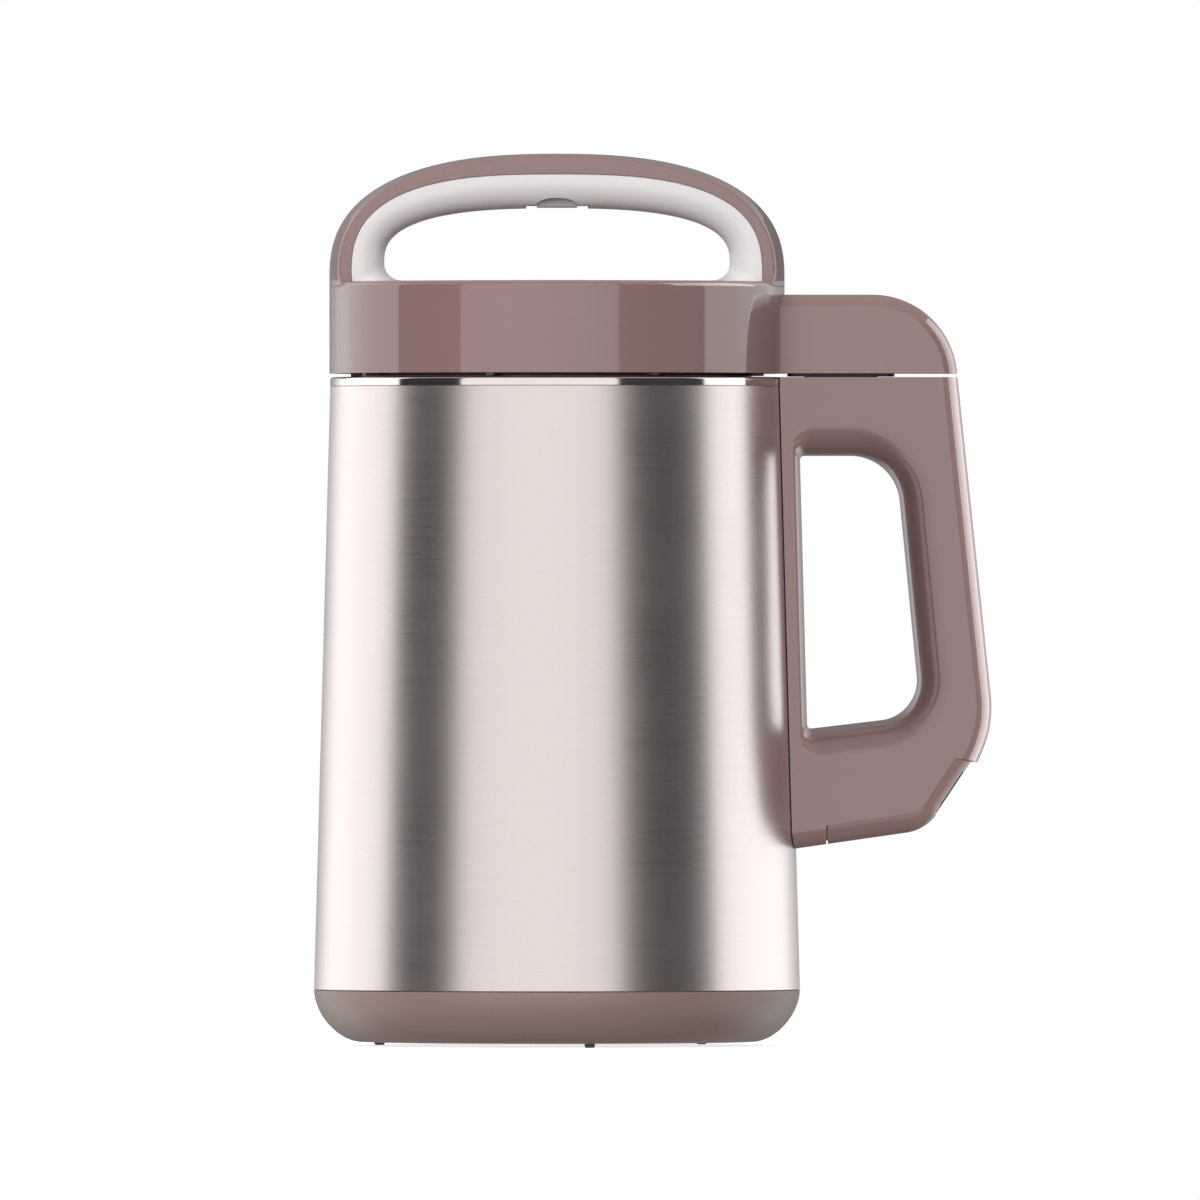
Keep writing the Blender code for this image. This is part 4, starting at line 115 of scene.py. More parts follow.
# Handle
TONGUE_REACH = 0.0015
TONGUE_HALF_DEPTH = 0.0095
TONGUE_INSET_SHARE = 0.2
HANDLE_HALF_DEPTH = 0.0175
HANDLE_REACH = 0.1481
SIDE_LEAN = 0.1045
HANDLE_BOTTOM = 0.073
HEEL_LEVEL = 0.08
FACE_END_LEVEL = 0.09
SPINE_END_LEVEL = 0.105
ELBOW_LEVEL = 0.1188
ELBOW_FILLET = 0.04
ELBOW_TUCK = 0.006
STEP_WIDTH = 0.0026
STEP_EDGE = 0.0012
INLET_FACE_TUCK = 0.01
HEEL_TUCK = 0.0057
HEEL_FILLET = 0.0165
HEEL_RISE = 0.007
ROOT_INSET = 0.019
SPINE_EDGE = 0.0054
BOTTOM_EDGE = 0.0068
LONG_EDGE_DEPTH = 0.0068
CREASE_ANGLE = radians(18)
OPENING_TOP = 0.2182
OPENING_BOTTOM = 0.1172
GRIP_TOP_WIDTH = 0.026
GRIP_BOTTOM_WIDTH = 0.0272
OPENING_SLOPE_RISE = 0.005
COLUMN_WALL = 0.0053
OPENING_TOP_FILLET = 0.0183
OPENING_BOTTOM_FILLET = 0.0149
OPENING_CORNER_FILLET = 0.0015
OPENING_EDGE = 0.013
OPENING_EDGE_DEPTH = 0.017
COLUMN_EDGE = 0.003
SLIT_REACH = 0.0995
SLIT_WIDTH = 0.0007
SEAM_GAP = 0.0001
COUPLER_REACH = 0.105
DUCT_WALL = 0.008
DUCT_HALF_DEPTH = 0.01
DUCT_TOP = 0.2435
DUCT_END = 0.175
POCKET_FOOT = 0.2221
POCKET_HALF_LENGTH = 0.0138
POCKET_HALF_DEPTH = 0.0111
INLET_SHARE = 0.76
INLET_HALF_HEIGHT = 0.0092
INLET_HALF_WIDTH = 0.013
INLET_DEPTH = 0.018
INLET_ROOM = 0.001

# Head, above the lid's underside
LID_UNDERSIDE = 0.2487
LID_RADIUS = 0.0842
LID_HEIGHT = 0.0339
LID_WALL = 0.0024
LID_ROOF = 0.003
LID_EDGE = 0.002
ARM_HEIGHT = 0.0291
ARM_FILLET = 0.0314
ARM_EDGE = 0.0054
ARM_WALL = 0.0024
ARM_ROOT_INSET = 0.02
BAIL_HALF_DEPTH = 0.024
BAIL_CROWN = 0.0813
BAIL_SPRING = 0.0353
BAIL_POWER = 2.5
BAIL_EDGE = 0.0016
SEAM_HALF_WIDTH = 0.076
SEAM_DROP = 0.0078
SEAM_POWER = 2.8
OPEN_HALF_WIDTH = 0.064
OPEN_DROP = 0.0201
OPEN_POWER = 2.7
OPEN_FOOT_RADIUS = 0.0065
LINER_FOOT_LIP = 0.0004
LINER_EDGE = 0.0105
BAIL_STEPS = 72
FOOT_CROWDING = 1.5
FOOT_FLARE = 0.004
FINE_EDGE = 0.0004
CAP_POCKET_HALF_WIDTH = 0.0114
CAP_POCKET_RISE = 0.0009
NOTCH_HALF_WIDTH = 0.0078
NOTCH_RISE = 0.0036
CAP_HALF_DEPTH = 0.017
CAP_LIFT = 0.0005
PANEL_HALF_LENGTH = 0.046
PANEL_HALF_WIDTH = 0.019
PANEL_FILLET = 0.008
PANEL_THICKNESS = 0.0012
BUTTON_PITCH = 0.024
BUTTON_RADIUS = 0.0062
STEM_RADIUS = 0.0025
STEM_FOOT = 0.0272
BUTTON_PROUD = 0.0004
BUTTON_THICKNESS = 0.0011

# Coupler
SOCKET_DEPTH = 0.019
SOCKET_HALF_LENGTH = 0.0135
SOCKET_HALF_DEPTH = 0.0108
SOCKET_WALL = 0.0024
COLLAR_HEIGHT = 0.001
COLLAR_HALF_LENGTH = 0.0198
COLLAR_HALF_DEPTH = 0.013
COLLAR_FILLET = 0.003
PLUG_ROOM = 0.001
PLUG_NOSE_DEPTH = 0.008
PLUG_FLANGE = 0.0035
PIN_RADIUS = 0.0016
PIN_PITCH = 0.006464
PIN_DROP = 0.0118

# Head base and what hangs under it
HEAD_BASE_TOP = 0.0025
SPIGOT_RADIUS = 0.072
SPIGOT_WALL = 0.002
SPIGOT_DEPTH = 0.013
FIRST_PAD_ANGLE = radians(-108)
PAD_START = 0.074
PAD_END = 0.08
PAD_HALF_WIDTH = 0.0015
HOUSING_RADIUS = 0.035497
HOUSING_WALL = 0.0008
HOUSING_FILLET = 0.005
HOUSING_FLANGE_WIDTH = 0.0105
HOUSING_DEPTH = 0.135
SEAL_HEIGHT = 0.0015
NECK_RADIUS = 0.01
NECK_HEIGHT = 0.01
PROBE_ANGLE = radians(35)
OVERFLOW_RADIUS = 0.0022
OVERFLOW_LENGTH = 0.045
TEMPERATURE_RADIUS = 0.0034
PROBE_HEAD_RADIUS = 0.0055
PROBE_HEAD_HEIGHT = 0.0025
GUARD_DEPTH = 0.0525
GUARD_RADIUS = 0.033
GUARD_WALL = 0.0015
GUARD_COLLAR_HEIGHT = 0.0085
GUARD_SHOULDER_RADIUS = 0.018
GUARD_SLOT_HALF_WIDTH = 0.0035
GUARD_SLOT_HEADROOM = 0.0025
GUARD_SLOT_LIFT = 0.008
BLADE_DROP = 0.029
BLADE_THICKNESS = 0.0012
BLADE_BEND = 0.005
BLADE_BORE_RADIUS = 0.0033
BLADE_HUB_RADIUS = 0.007
# Along an arm of the blade: reach, half width, and share of its bend
BLADE_STATIONS = [
    (0.005, 0.0026, 0), (0.012, 0.0026, 0), (0.0146, 0.0024, 0.04), (0.0172, 0.0021, 0.26),
    (0.0205, 0.0017, 0.62), (0.0238, 0.001, 1.0),
]

# Camera
CAMERA_DISTANCE = 14.0
VIEW_WIDTH = 0.444
VIEW_CENTRE_X = -0.0195
VIEW_CENTRE_Z = 0.1649

# Body axis in the frame, taken from the round shell
low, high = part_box("outer_shell")
AXIS_X = (low.x + high.x) / 2


# Node graphs: expressions on wires add Math nodes


def maths(operation, swapped=False):
    """A method that adds a Math node."""

    def method(wire, *others):
        values = (*others, wire) if swapped else (wire, *others)
        return wire.graph.add("ShaderNodeMath", *values, operation=operation)

    return method


class Wire:
    """An output socket that adds Math nodes when it stands in an expression."""

    def __init__(self, graph, socket):
        self.graph = graph
        self.socket = socket

    __add__ = __radd__ = maths("ADD")
    __sub__ = maths("SUBTRACT")
    __rsub__ = maths("SUBTRACT", True)
    __mul__ = __rmul__ = maths("MULTIPLY")
    __truediv__ = maths("DIVIDE")
    __mod__ = maths("FLOORED_MODULO")
    cosine = maths("COSINE")
    sine = maths("SINE")
    floor = maths("FLOOR")
    lowest = maths("MINIMUM")
    highest = maths("MAXIMUM")

    def clamped(self):
        return self.highest(0.0).lowest(1.0)


class Graph:
    """A node tree. Its add method makes any node, from values in order or in one dictionary."""

    def __init__(self, tree, shader=None):
        self.tree = tree
        self.shader = shader

    def add(self, kind, *values, output=0, **settings):
        node = self.tree.nodes.new(kind)
        for name, value in settings.items():
            setattr(node, name, value)
        named = values[0] if values and isinstance(values[0], dict) else dict(enumerate(values))
        for key, value in named.items():
            if isinstance(value, Wire):
                self.tree.links.new(value.socket, node.inputs[key])
            else:
                node.inputs[key].default_value = value
        return Wire(self, node.outputs[output])

    def close(self, kind, wire):
        """The tree's output node."""
        self.tree.links.new(wire.socket, self.tree.nodes.new(kind).inputs[0])

    def feed(self, label, wire):
        """Feed one of the shader's sockets."""
        self.tree.links.new(wire.socket, self.shader.inputs[label])

    def other(self, wire, output):
        """Another output of a wire's node."""
        return Wire(self, wire.socket.node.outputs[output])

    def parts(self, vector):
        split = self.add("ShaderNodeSeparateXYZ", vector)
        return [self.other(split, index) for index in range(3)]

    def vector(self, x, y, z):
        return self.add("ShaderNodeCombineXYZ", x, y, z)

    def angle(self, y, x):
        return self.add("ShaderNodeMath", y, x, operation="ARCTAN2")

    def mixed(self, factor, first, second):
        """One colour over another."""
        return self.add("ShaderNodeMix", {0: factor, 6: first, 7: second}, data_type="RGBA", output=2)

    def noise(self, place, scale, detail=3.0, roughness=0.5):
        values = {"Vector": place, "Scale": scale, "Detail": detail, "Roughness": roughness}
        return self.add("ShaderNodeTexNoise", values)

    def bump(self, height, distance, strength):
        """A fine relief on the surface."""
        values = {"Height": height, "Distance": distance, "Strength": strength}
        self.feed("Normal", self.add("ShaderNodeBump", values))


def colour(channels, tone=1.0):
    """An 8-bit colour in a shader's linear values, darker or lighter by its tone."""
    linear = (((channel / 255 + 0.055) / 1.055) ** 2.4 for channel in channels)
    return (*(min(share * tone, 1.0) for share in linear), 1.0)


def grey(level):
    return (level, level, level, 1.0)


# Geometry Nodes trees


def new_tree(name, inputs):
    """A geometry tree with named inputs, its Graph and its input wires."""
    tree = bpy.data.node_groups.new(name, "GeometryNodeTree")
    for label, kind in inputs.items():
        tree.interface.new_socket(label, in_out="INPUT", socket_type="NodeSocket" + kind)
    tree.interface.new_socket("Body", in_out="OUTPUT", socket_type="NodeSocketGeometry")
    graph = Graph(tree)
    first = graph.add("NodeGroupInput")
    return tree, graph, {label: graph.other(first, label) for label in inputs}


def close_tree(graph, geometry, finish):
    """Realize Instances and Set Material, then the tree's output."""
    real = graph.add("GeometryNodeRealizeInstances", geometry)
    done = graph.add("GeometryNodeSetMaterial", {"Geometry": real, "Material": finish})
    graph.close("NodeGroupOutput", done)


def turning_tree():
    """Turns a closed section, given as points in order, about the vertical axis."""
    inputs = {"Section": "Geometry", "Steps round": "Int", "Finish": "Material"}
    tree, graph, given = new_tree("turned_body", inputs)
    section, steps = given["Section"], given["Steps round"]
    count = graph.add("GeometryNodeAttributeDomainSize", section, component="MESH")
    rows = steps + 1
    size = {"Size X": 1.0, "Size Y": 1.0, "Vertices X": count + 1, "Vertices Y": rows}
    grid = graph.add("GeometryNodeMeshGrid", size)
    index = graph.add("GeometryNodeInputIndex")
    along = (index / rows).floor() % count
    angle = (index % rows) * tau / steps
    place = graph.add("GeometryNodeInputPosition")
    sample = {"Geometry": section, "Value": place, "Index": along}
    point = graph.add("GeometryNodeSampleIndex", sample, data_type="FLOAT_VECTOR")
    reach, _, height = graph.parts(point)
    turned = graph.vector(reach * angle.cosine(), reach * angle.sine(), height)
    body = graph.add("GeometryNodeSetPosition", {"Geometry": grid, "Position": turned})
    joined = graph.add("GeometryNodeMergeByDistance", {"Geometry": body, "Distance": MERGE})
    bare = 1.0 - graph.add("GeometryNodeInputMeshEdgeNeighbors")
    closed = graph.add("GeometryNodeDeleteGeometry", {"Geometry": joined, "Selection": bare}, domain="EDGE")
    close_tree(graph, graph.add("GeometryNodeFlipFaces", closed), given["Finish"])
    return tree


def repeating_tree():
    """Sets copies of one piece evenly round the vertical axis or along X."""
    inputs = {"Piece": "Geometry", "Count": "Int", "First angle": "Float", "Angle between": "Float"}
    tree, graph, given = new_tree("repeated_piece", {**inputs, "Pitch in X": "Float", "Finish": "Material"})
    index = graph.add("GeometryNodeInputIndex")
    place = graph.vector(index * given["Pitch in X"], 0.0, 0.0)
    spots = graph.add("GeometryNodePoints", given["Count"], place)
    turn = graph.vector(0.0, 0.0, given["First angle"] + index * given["Angle between"])
    values = {"Points": spots, "Instance": given["Piece"], "Rotation": turn}
    close_tree(graph, graph.add("GeometryNodeInstanceOnPoints", values), given["Finish"])
    return tree


def linked(name, data):
    """A new object in the scene."""
    obj = bpy.data.objects.new(name, data)
    bpy.context.scene.collection.objects.link(obj)
    return obj


def baked(obj, *helpers):
    """The plain mesh that an object's modifiers make."""
    depsgraph = bpy.context.evaluated_depsgraph_get()
    result = bpy.data.meshes.new_from_object(obj.evaluated_get(depsgraph), depsgraph=depsgraph)
    for used in (obj, *helpers):
        bpy.data.objects.remove(used)
    return result


def grown(mesh, tree, values):
    """What a geometry tree makes of a mesh. settle gives the piece its own finish."""
    obj = linked("start", mesh)
    step = obj.modifiers.new("tree", "NODES")
    step.node_group = tree
    sockets = {item.name: item.identifier for item in tree.interface.items_tree}
    for label, value in {**values, "Finish": DULL}.items():
        step[sockets[label]] = value
    return baked(obj)


TURNING = turning_tree()
REPEATING = repeating_tree()


def turned(section, steps=AROUND):
    """A turned body from the (radius, height) points of its section."""
    start = bpy.data.meshes.new("section")
    edges = [(index, (index + 1) % len(section)) for index in range(len(section))]
    start.from_pydata([(radius, 0, height) for radius, height in section], edges, [])
    return grown(start, TURNING, {"Steps round": steps})


def ringed(mesh, count, first_angle):
    """Copies of a mesh evenly round the axis."""
    return grown(mesh, REPEATING, {"Count": count, "First angle": first_angle, "Angle between": tau / count})


def in_row(mesh, pitch):
    """Three copies of a mesh along X."""
    return grown(mesh, REPEATING, {"Count": 3, "Pitch in X": pitch})


# Outlines


def shell_radius(height):
    """Outer radius of the shell at a height."""
    share = (height - BASE_TOP) / SHELL_HEIGHT
    return SHELL_FOOT_RADIUS + (SHELL_TOP_RADIUS - SHELL_FOOT_RADIUS) * share


def quarter_curve(width, height, power, steps, crowding=1.0, level=0.0):
    """One quarter of a superellipse above a level, from its side round to its top."""
    points = []
    for step in range(steps + 1):
        angle = pi / 2 * (step / steps) ** crowding
        along = max(cos(angle), 0.0) ** (2 / power)
        points.append((width * along, level + height * sin(angle) ** (2 / power)))
    return points


def arc(centre, radius, start, end, steps=TURN_STEPS):
    """Points on an arc in the plane of an outline."""
    angles = [start + (end - start) * step / steps for step in range(steps + 1)]
    return [(centre[0] + radius * cos(a), centre[1] + radius * sin(a)) for a in angles]


class Corner(namedtuple("Corner", "x z fillet edge")):
    """A corner of an outline: place, fillet radius, width of the rounded long edge after it."""

    @property
    def place(self):
        return Vector((self.x, self.z))


def inset_corners(corners, share):
    """A clockwise outline, each side moved in by a share of its edge width."""
    sides = []
    for corner, after in zip(corners, [*corners[1:], corners[0]]):
        run = Vector((after.x - corner.x, after.z - corner.z)).normalized()
        sides.append((corner.place + Vector((run.y, -run.x)) * corner.edge * share, run))
    moved = []
    for index, corner in enumerate(corners):
        (point, arriving), (other, leaving) = sides[index - 1], sides[index]
        gap = other - point
        turn = arriving.x * leaving.y - arriving.y * leaving.x
        place = point + arriving * (gap.x * leaving.y - gap.y * leaving.x) / turn
        change = (corners[index - 1].edge + corner.edge) / 2 * share * (1 if turn < 0 else -1)
        fillet = max(corner.fillet - change, corner.fillet / 10) if corner.fillet else 0
        moved.append(Corner(*place, fillet, corner.edge))
    return moved


def filleted(corners):
    """Outline points, with an arc at each corner that has a fillet."""
    points = []
    for index, corner in enumerate(corners):
        place = corner.place
        if corner.fillet == 0:
            points.append(tuple(place))
            continue
        arriving = (corners[index - 1].place - place).normalized()
        leaving = (corners[(index + 1) % len(corners)].place - place).normalized()
        half = arriving.angle(leaving) / 2
        centre = place + (arriving + leaving).normalized() * corner.fillet / sin(half)
        start, end = (place + way * corner.fillet / tan(half) - centre for way in (arriving, leaving))
        sweep = pi - 2 * half
        steps = max(round(sweep / CORNER_STEP), 2)
        for step in range(steps + 1):
            angle = sweep * step / steps
            spoke = (start * sin(sweep - angle) + end * sin(angle)) / sin(sweep)
            points.append(tuple(centre + spoke))
    return points


def rounding(crease=0.0):
    """A rounded edge, as (inset share, depth share) from the face, which it leaves at a crease, to the side."""
    angles = [crease + (pi / 2 - crease) * step / EDGE_STEPS for step in range(EDGE_STEPS + 1)]
    return [((1 - sin(angle)) / (1 - sin(crease)), 1 - cos(angle) / cos(crease)) for angle in angles]


def edged_levels(corners, half_depth, edge_depth, profile, grow=False, overrun=0.0):
    """Outlines of a slab with shaped long edges, or of a hole that flares the same way."""
    front = []
    sign = -1 if grow else 1
    for inset, depth in profile:
        outline = filleted(inset_corners(corners, sign * inset))
        front.append((-half_depth + edge_depth * depth, outline))
    if overrun:
        front.insert(0, (-half_depth - overrun, front[0][1]))
    return front + [(-depth, outline) for depth, outline in reversed(front)]


# Meshes


def mesh_of(bm, name="shape"):
    """A plain mesh from a bmesh, with its faces turned outwards."""
    bmesh.ops.recalc_face_normals(bm, faces=bm.faces)
    mesh = bpy.data.meshes.new(name)
    bm.to_mesh(mesh)
    bm.free()
    return mesh


def skinned(sections):
    """A closed body through sections of equally many points."""
    bm = bmesh.new()
    rings = [[bm.verts.new(point) for point in section] for section in sections]
    bm.faces.new(rings[0])
    bm.faces.new(rings[-1])
    for ring, next_ring in zip(rings, rings[1:]):
        for index in range(len(ring)):
            after = (index + 1) % len(ring)
            bm.faces.new((ring[index], ring[after], next_ring[after], next_ring[index]))
    return mesh_of(bm)


def slab(levels):
    """A body through outlines in XZ, each at its depth in Y."""
    return skinned([[(x, depth, z) for x, z in outline] for depth, outline in levels])


def prism(outline, half_depth):
    """A slab of one outline."""
    return slab([(-half_depth, outline), (half_depth, outline)])


def plate(outline, low, high):
    """A flat plate of an outline seen from above."""
    return skinned([[(x, y, level) for x, y in outline] for level in (low, high)])


def block(low, high, bevel=0.0, segments=3):
    """A box between two corners, with rounded edges."""
    bm = bmesh.new()
    made = bmesh.ops.create_cube(bm, size=1)["verts"]
    bmesh.ops.scale(bm, vec=[b - a for a, b in zip(low, high)], verts=made)
    bmesh.ops.translate(bm, vec=[(a + b) / 2 for a, b in zip(low, high)], verts=made)
    if bevel:
        bmesh.ops.bevel(bm, geom=bm.edges, offset=bevel, segments=segments, profile=0.5, affect="EDGES")
    return mesh_of(bm)


def rod(x, low, high, radius, steps=AROUND_SMALL, y=0):
    """An upright round bar."""
    place = Matrix.Translation((x, y, (low + high) / 2))
    bm = bmesh.new()
    bmesh.ops.create_cone(
        bm, cap_ends=True, segments=steps, radius1=radius, radius2=radius, depth=high - low, matrix=place,
    )
    return mesh_of(bm)


def moved(mesh, place=(0, 0, 0), turn=None):
    """The mesh at another place."""
    mesh.transform(Matrix.Translation(place) @ (turn or Matrix.Identity(4)))
    return mesh


def worked(mesh, trim=(), join=(), cut=()):
    """The mesh after Boolean steps: kept within some tools, joined with some, cut by some."""
    blank = linked("blank", mesh)
    tools = []
    for operation, shapes in (("INTERSECT", trim), ("UNION", join), ("DIFFERENCE", cut)):
        for shape in shapes:
            tools.append(linked("tool", shape))
            step = blank.modifiers.new("step", "BOOLEAN")
            step.operation = operation
            step.object = tools[-1]
            step.solver = "EXACT"
    return baked(blank, *tools)


def settle(name, mesh, finish, body, *nodes, bevel=0.0, slot=None):
    """A finished piece in its nodes' stead. What isn't on the jug is modelled above the lid's underside."""
    lift = 0 if body == "jug" else LID_UNDERSIDE
    bm = bmesh.new()
    bm.from_mesh(mesh)
    bmesh.ops.remove_doubles(bm, verts=bm.verts, dist=MERGE)
    bmesh.ops.recalc_face_normals(bm, faces=bm.faces)
    bmesh.ops.translate(bm, vec=(AXIS_X, 0, lift), verts=bm.verts)
    bm.to_mesh(mesh)
    bm.free()
    mesh.name = name
    mesh.materials.clear()
    mesh.materials.append(finish)
    mesh.shade_smooth()
    mesh.set_sharp_from_angle(angle=SHARP_ANGLE)
    obj = linked(name, mesh)
    if bevel:
        edge = obj.modifiers.new("edge", "BEVEL")
        edge.width = bevel
        edge.segments = 2
        edge.limit_method = "ANGLE"
        edge.angle_limit = SHARP_ANGLE
    obj.modifiers.new("even_normals", "WEIGHTED_NORMAL").keep_sharp = True
    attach(obj, body)
    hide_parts(*nodes)


# Finishes


def surface(name, values):
    """A material with its shader's values set, and its Graph."""
    material = bpy.data.materials.new(name)
    material.use_nodes = True
    shader = material.node_tree.nodes["Principled BSDF"]
    for label, value in values.items():
        shader.inputs[label].default_value = value
    return material, Graph(material.node_tree, shader)


def finish_of(name, base, roughness, metallic=0.0, coat=0.0):
    """A material, its Graph, and the object's coordinates centred on the body axis."""
    values = {"Base Color": colour(base), "Roughness": roughness, "Metallic": metallic}
    values.update({"Coat Weight": coat, "Coat Roughness": 0.04})
    if coat == 1.0:
        values.update({"Specular IOR Level": 0.1, "Coat IOR": 1.7})
    material, graph = surface(name, values)
    coordinates = graph.add("ShaderNodeTexCoord", output="Object")
    place = graph.add("ShaderNodeVectorMath", coordinates, (AXIS_X, 0, 0), operation="SUBTRACT")
    return material, graph, place


def metal(name, base, roughness, metallic=1.0, coat=0.0):
    """A finish with the angle about the body axis and the height as numbers."""
    material, graph, place = finish_of(name, base, roughness, metallic, coat)
    x, y, z = graph.parts(place)
    return material, graph, place, graph.angle(y, x), z


def brushed_steel(name, base, roughness, lines_per_metre):
    """Steel brushed round its axis, with fine lines of uneven depth."""
    material, graph, _, angle, z = metal(name, base, roughness)
    lines = graph.noise(graph.vector(angle * 2.0, z * lines_per_metre, 0.0), 1.0, 4.0, 0.65)
    patches = graph.noise(graph.vector(angle * 1.5, z * 30.0, 3.0), 1.0, 2.0)
    shade = (lines - 0.5) * 0.11 + (patches - 0.5) * 0.1 + 0.5
    graph.feed("Base Color", graph.mixed(shade.clamped(), colour(base, 0.82), colour(base, 1.1)))
    graph.feed("Roughness", roughness + (lines - 0.5) * 0.12 + (patches - 0.5) * 0.05)
    graph.bump(lines, 0.000008, 0.35)
    return material


def bright_steel(name, base, roughness):
    """Polished or plain steel with faint wipe marks."""
    material, graph, place, angle, z = metal(name, base, roughness)
    lines = graph.noise(graph.vector(angle * 3.0, z * 1500.0, 0.0), 1.0, 3.0, 0.6)
    haze = graph.noise(place, 60.0, 3.0)
    graph.feed("Roughness", roughness + (haze - 0.5) * 0.08 + (lines - 0.5) * 0.05)
    graph.feed("Base Color", graph.mixed(haze, colour(base, 0.93), colour(base)))
    return material


def moulded(name, base, roughness, grain, depth, tint=0.06, coat=0.0):
    """Moulded plastic: a faint uneven colour and a fine skin."""
    material, graph, place = finish_of(name, base, roughness, coat=coat)
    flow = graph.noise(place, 14.0, 2.0)
    skin = graph.noise(place, grain, 2.0, 0.6)
    graph.feed("Base Color", graph.mixed(flow, colour(base, 1 - tint), colour(base, 1 + tint)))
    graph.feed("Roughness", roughness + (skin - 0.5) * 0.06 + (flow - 0.5) * 0.04)
    graph.bump(skin, depth, 0.4)
    return material


def wound_copper(name, base):
    """Enamelled wire laid in turns round a coil."""
    material, graph, _, angle, _ = metal(name, base, 0.35, 0.9, 0.3)
    turns = (angle * 140.0).sine()
    graph.feed("Roughness", 0.38 - turns * 0.08)
    graph.bump(turns, 0.0002, 0.6)
    return material


STEEL = brushed_steel("brushed_steel", (229, 219, 218), 0.29, 2200.0)
POLISHED = bright_steel("polished_steel", (232, 228, 226), 0.08)
GROUND = bright_steel("ground_steel", (214, 212, 210), 0.22)
DULL = bright_steel("dull_steel", (176, 176, 178), 0.42)
ALUMINIUM = bright_steel("cast_aluminium", (190, 192, 194), 0.5)
BRASS = bright_steel("brass", (200, 168, 100), 0.3)
COPPER = wound_copper("copper_winding", (172, 100, 58))
CARBON = moulded("carbon", (46, 46, 48), 0.7, 900.0, 0.00005)
BROWN = moulded("brown_gloss", (131, 105, 102), 0.4, 1400.0, 0.000004, 0.02, coat=1.0)
BROWN_BASE = moulded("brown_base", (140, 118, 110), 0.34, 1400.0, 0.000015, 0.03)
SATIN = moulded("silver_satin", (220, 217, 218), 0.3, 2400.0, 0.00001, 0.02)
GREY = moulded("grey_plastic", (150, 149, 150), 0.45, 1200.0, 0.00002)
DARK = moulded("dark_plastic", (52, 47, 46), 0.38, 1200.0, 0.00002)
BLACK = moulded("black_plastic", (28, 28, 29), 0.42, 1200.0, 0.00003)
CAP = moulded("button_plastic", (204, 198, 193), 0.34, 1200.0, 0.00002)
RUBBER = moulded("rubber", (92, 86, 84), 0.8, 700.0, 0.00006)
SILICONE = moulded("silicone", (190, 188, 184), 0.55, 900.0, 0.00003)
BOARD = moulded("board_green", (40, 92, 60), 0.45, 500.0, 0.00004)


# Jug


def base_corner(inner, outer, low, steps):
    """The base's rounded corner, from its floor out and up."""
    curve = quarter_curve(BASE_TOP - low, outer - inner, BASE_CURVE_POWER, steps)
    return [(inner + out, BASE_TOP - up) for up, out in curve]


def make_base():
    """Moulded base with its lip, screw recesses and foot holes."""
    floor = FOOT_HEIGHT + BASE_WALL
    lip_top = BASE_TOP + BASE_LIP_HEIGHT
    lip = shell_radius(lip_top) - SHELL_WALL - GAP
    section = [(0, FOOT_HEIGHT), *base_corner(BASE_FLAT_RADIUS, SHELL_FOOT_RADIUS, FOOT_HEIGHT, TURN_STEPS * 2)]
    section += [(lip, BASE_TOP), (lip, lip_top), (lip - BASE_WALL, lip_top)]
    inside = base_corner(FOOT_RING_RADIUS + 0.0035, lip - BASE_WALL, floor, TURN_STEPS)
    section += [*reversed(inside), (0, floor)]
    boss = rod(POST_RING_RADIUS, floor - 0.001, BOSS_TOP, BOSS_RADIUS)
    recess = rod(POST_RING_RADIUS, 0, FOOT_HEIGHT + RECESS_DEPTH, SCREW_HEAD_RADIUS + GAP)
    bore = rod(POST_RING_RADIUS, 0, BOSS_TOP + OVERRUN, SCREW_SHANK_RADIUS + GAP, AROUND_BORE)
    hole = rod(FOOT_RING_RADIUS, 0, floor + OVERRUN, FOOT_NECK_RADIUS + GAP, AROUND_BORE)
    bosses, recesses, bores = (ringed(shape, 3, FIRST_POST_ANGLE) for shape in (boss, recess, bore))
    holes = ringed(hole, 3, FIRST_FOOT_ANGLE)
    mesh = worked(turned(section), join=[bosses], cut=[recesses, bores, holes])
    settle("base_cover_moulding", mesh, BROWN_BASE, "jug", "base_cover")


def three(name):
    """The names of three alike CAD nodes."""
    return [f"{name}_{number}" for number in (1, 2, 3)]


def make_base_fasteners():
    """Three screws with cross recesses and three rubber feet."""
    head, shank = SCREW_HEAD_RADIUS, SCREW_SHANK_RADIUS
    top = FOOT_HEIGHT + RECESS_DEPTH - GAP
    foot = top - SCREW_HEAD_HEIGHT
    end = foot + SCREW_LENGTH
    section = [(0, foot), (head * 0.6, foot), (head, foot + SCREW_HEAD_HEIGHT / 4), (head, top), (shank, top)]
    screw = turned([*section, (shank, end), (0, end + shank)], AROUND_SMALL)
    for x, y in ((CROSS_REACH, CROSS_HALF_WIDTH), (CROSS_HALF_WIDTH, CROSS_REACH)):
        screw = worked(screw, cut=[block((-x, -y, foot - OVERRUN), (x, y, foot + CROSS_DEPTH))])
    screws = ringed(moved(screw, (POST_RING_RADIUS, 0, 0)), 3, FIRST_POST_ANGLE)
    settle("base_screws", screws, DULL, "jug", *three("base_screw"))
    neck, neck_radius, head = FOOT_HEIGHT + BASE_WALL + GAP, FOOT_NECK_RADIUS, FOOT_HEAD_RADIUS
    section = [(0, 0), (0.0013, 0), (0.0017, 0.00015), (neck_radius, 0.0005), (neck_radius, neck), (head, neck)]
    pad = turned([*section, (head, neck + FOOT_HEAD_HEIGHT), (0, neck + FOOT_HEAD_HEIGHT)], AROUND_SMALL)
    feet = ringed(moved(pad, (FOOT_RING_RADIUS, 0, 0)), 3, FIRST_FOOT_ANGLE)
    settle("feet", feet, RUBBER, "jug", *three("foot"))


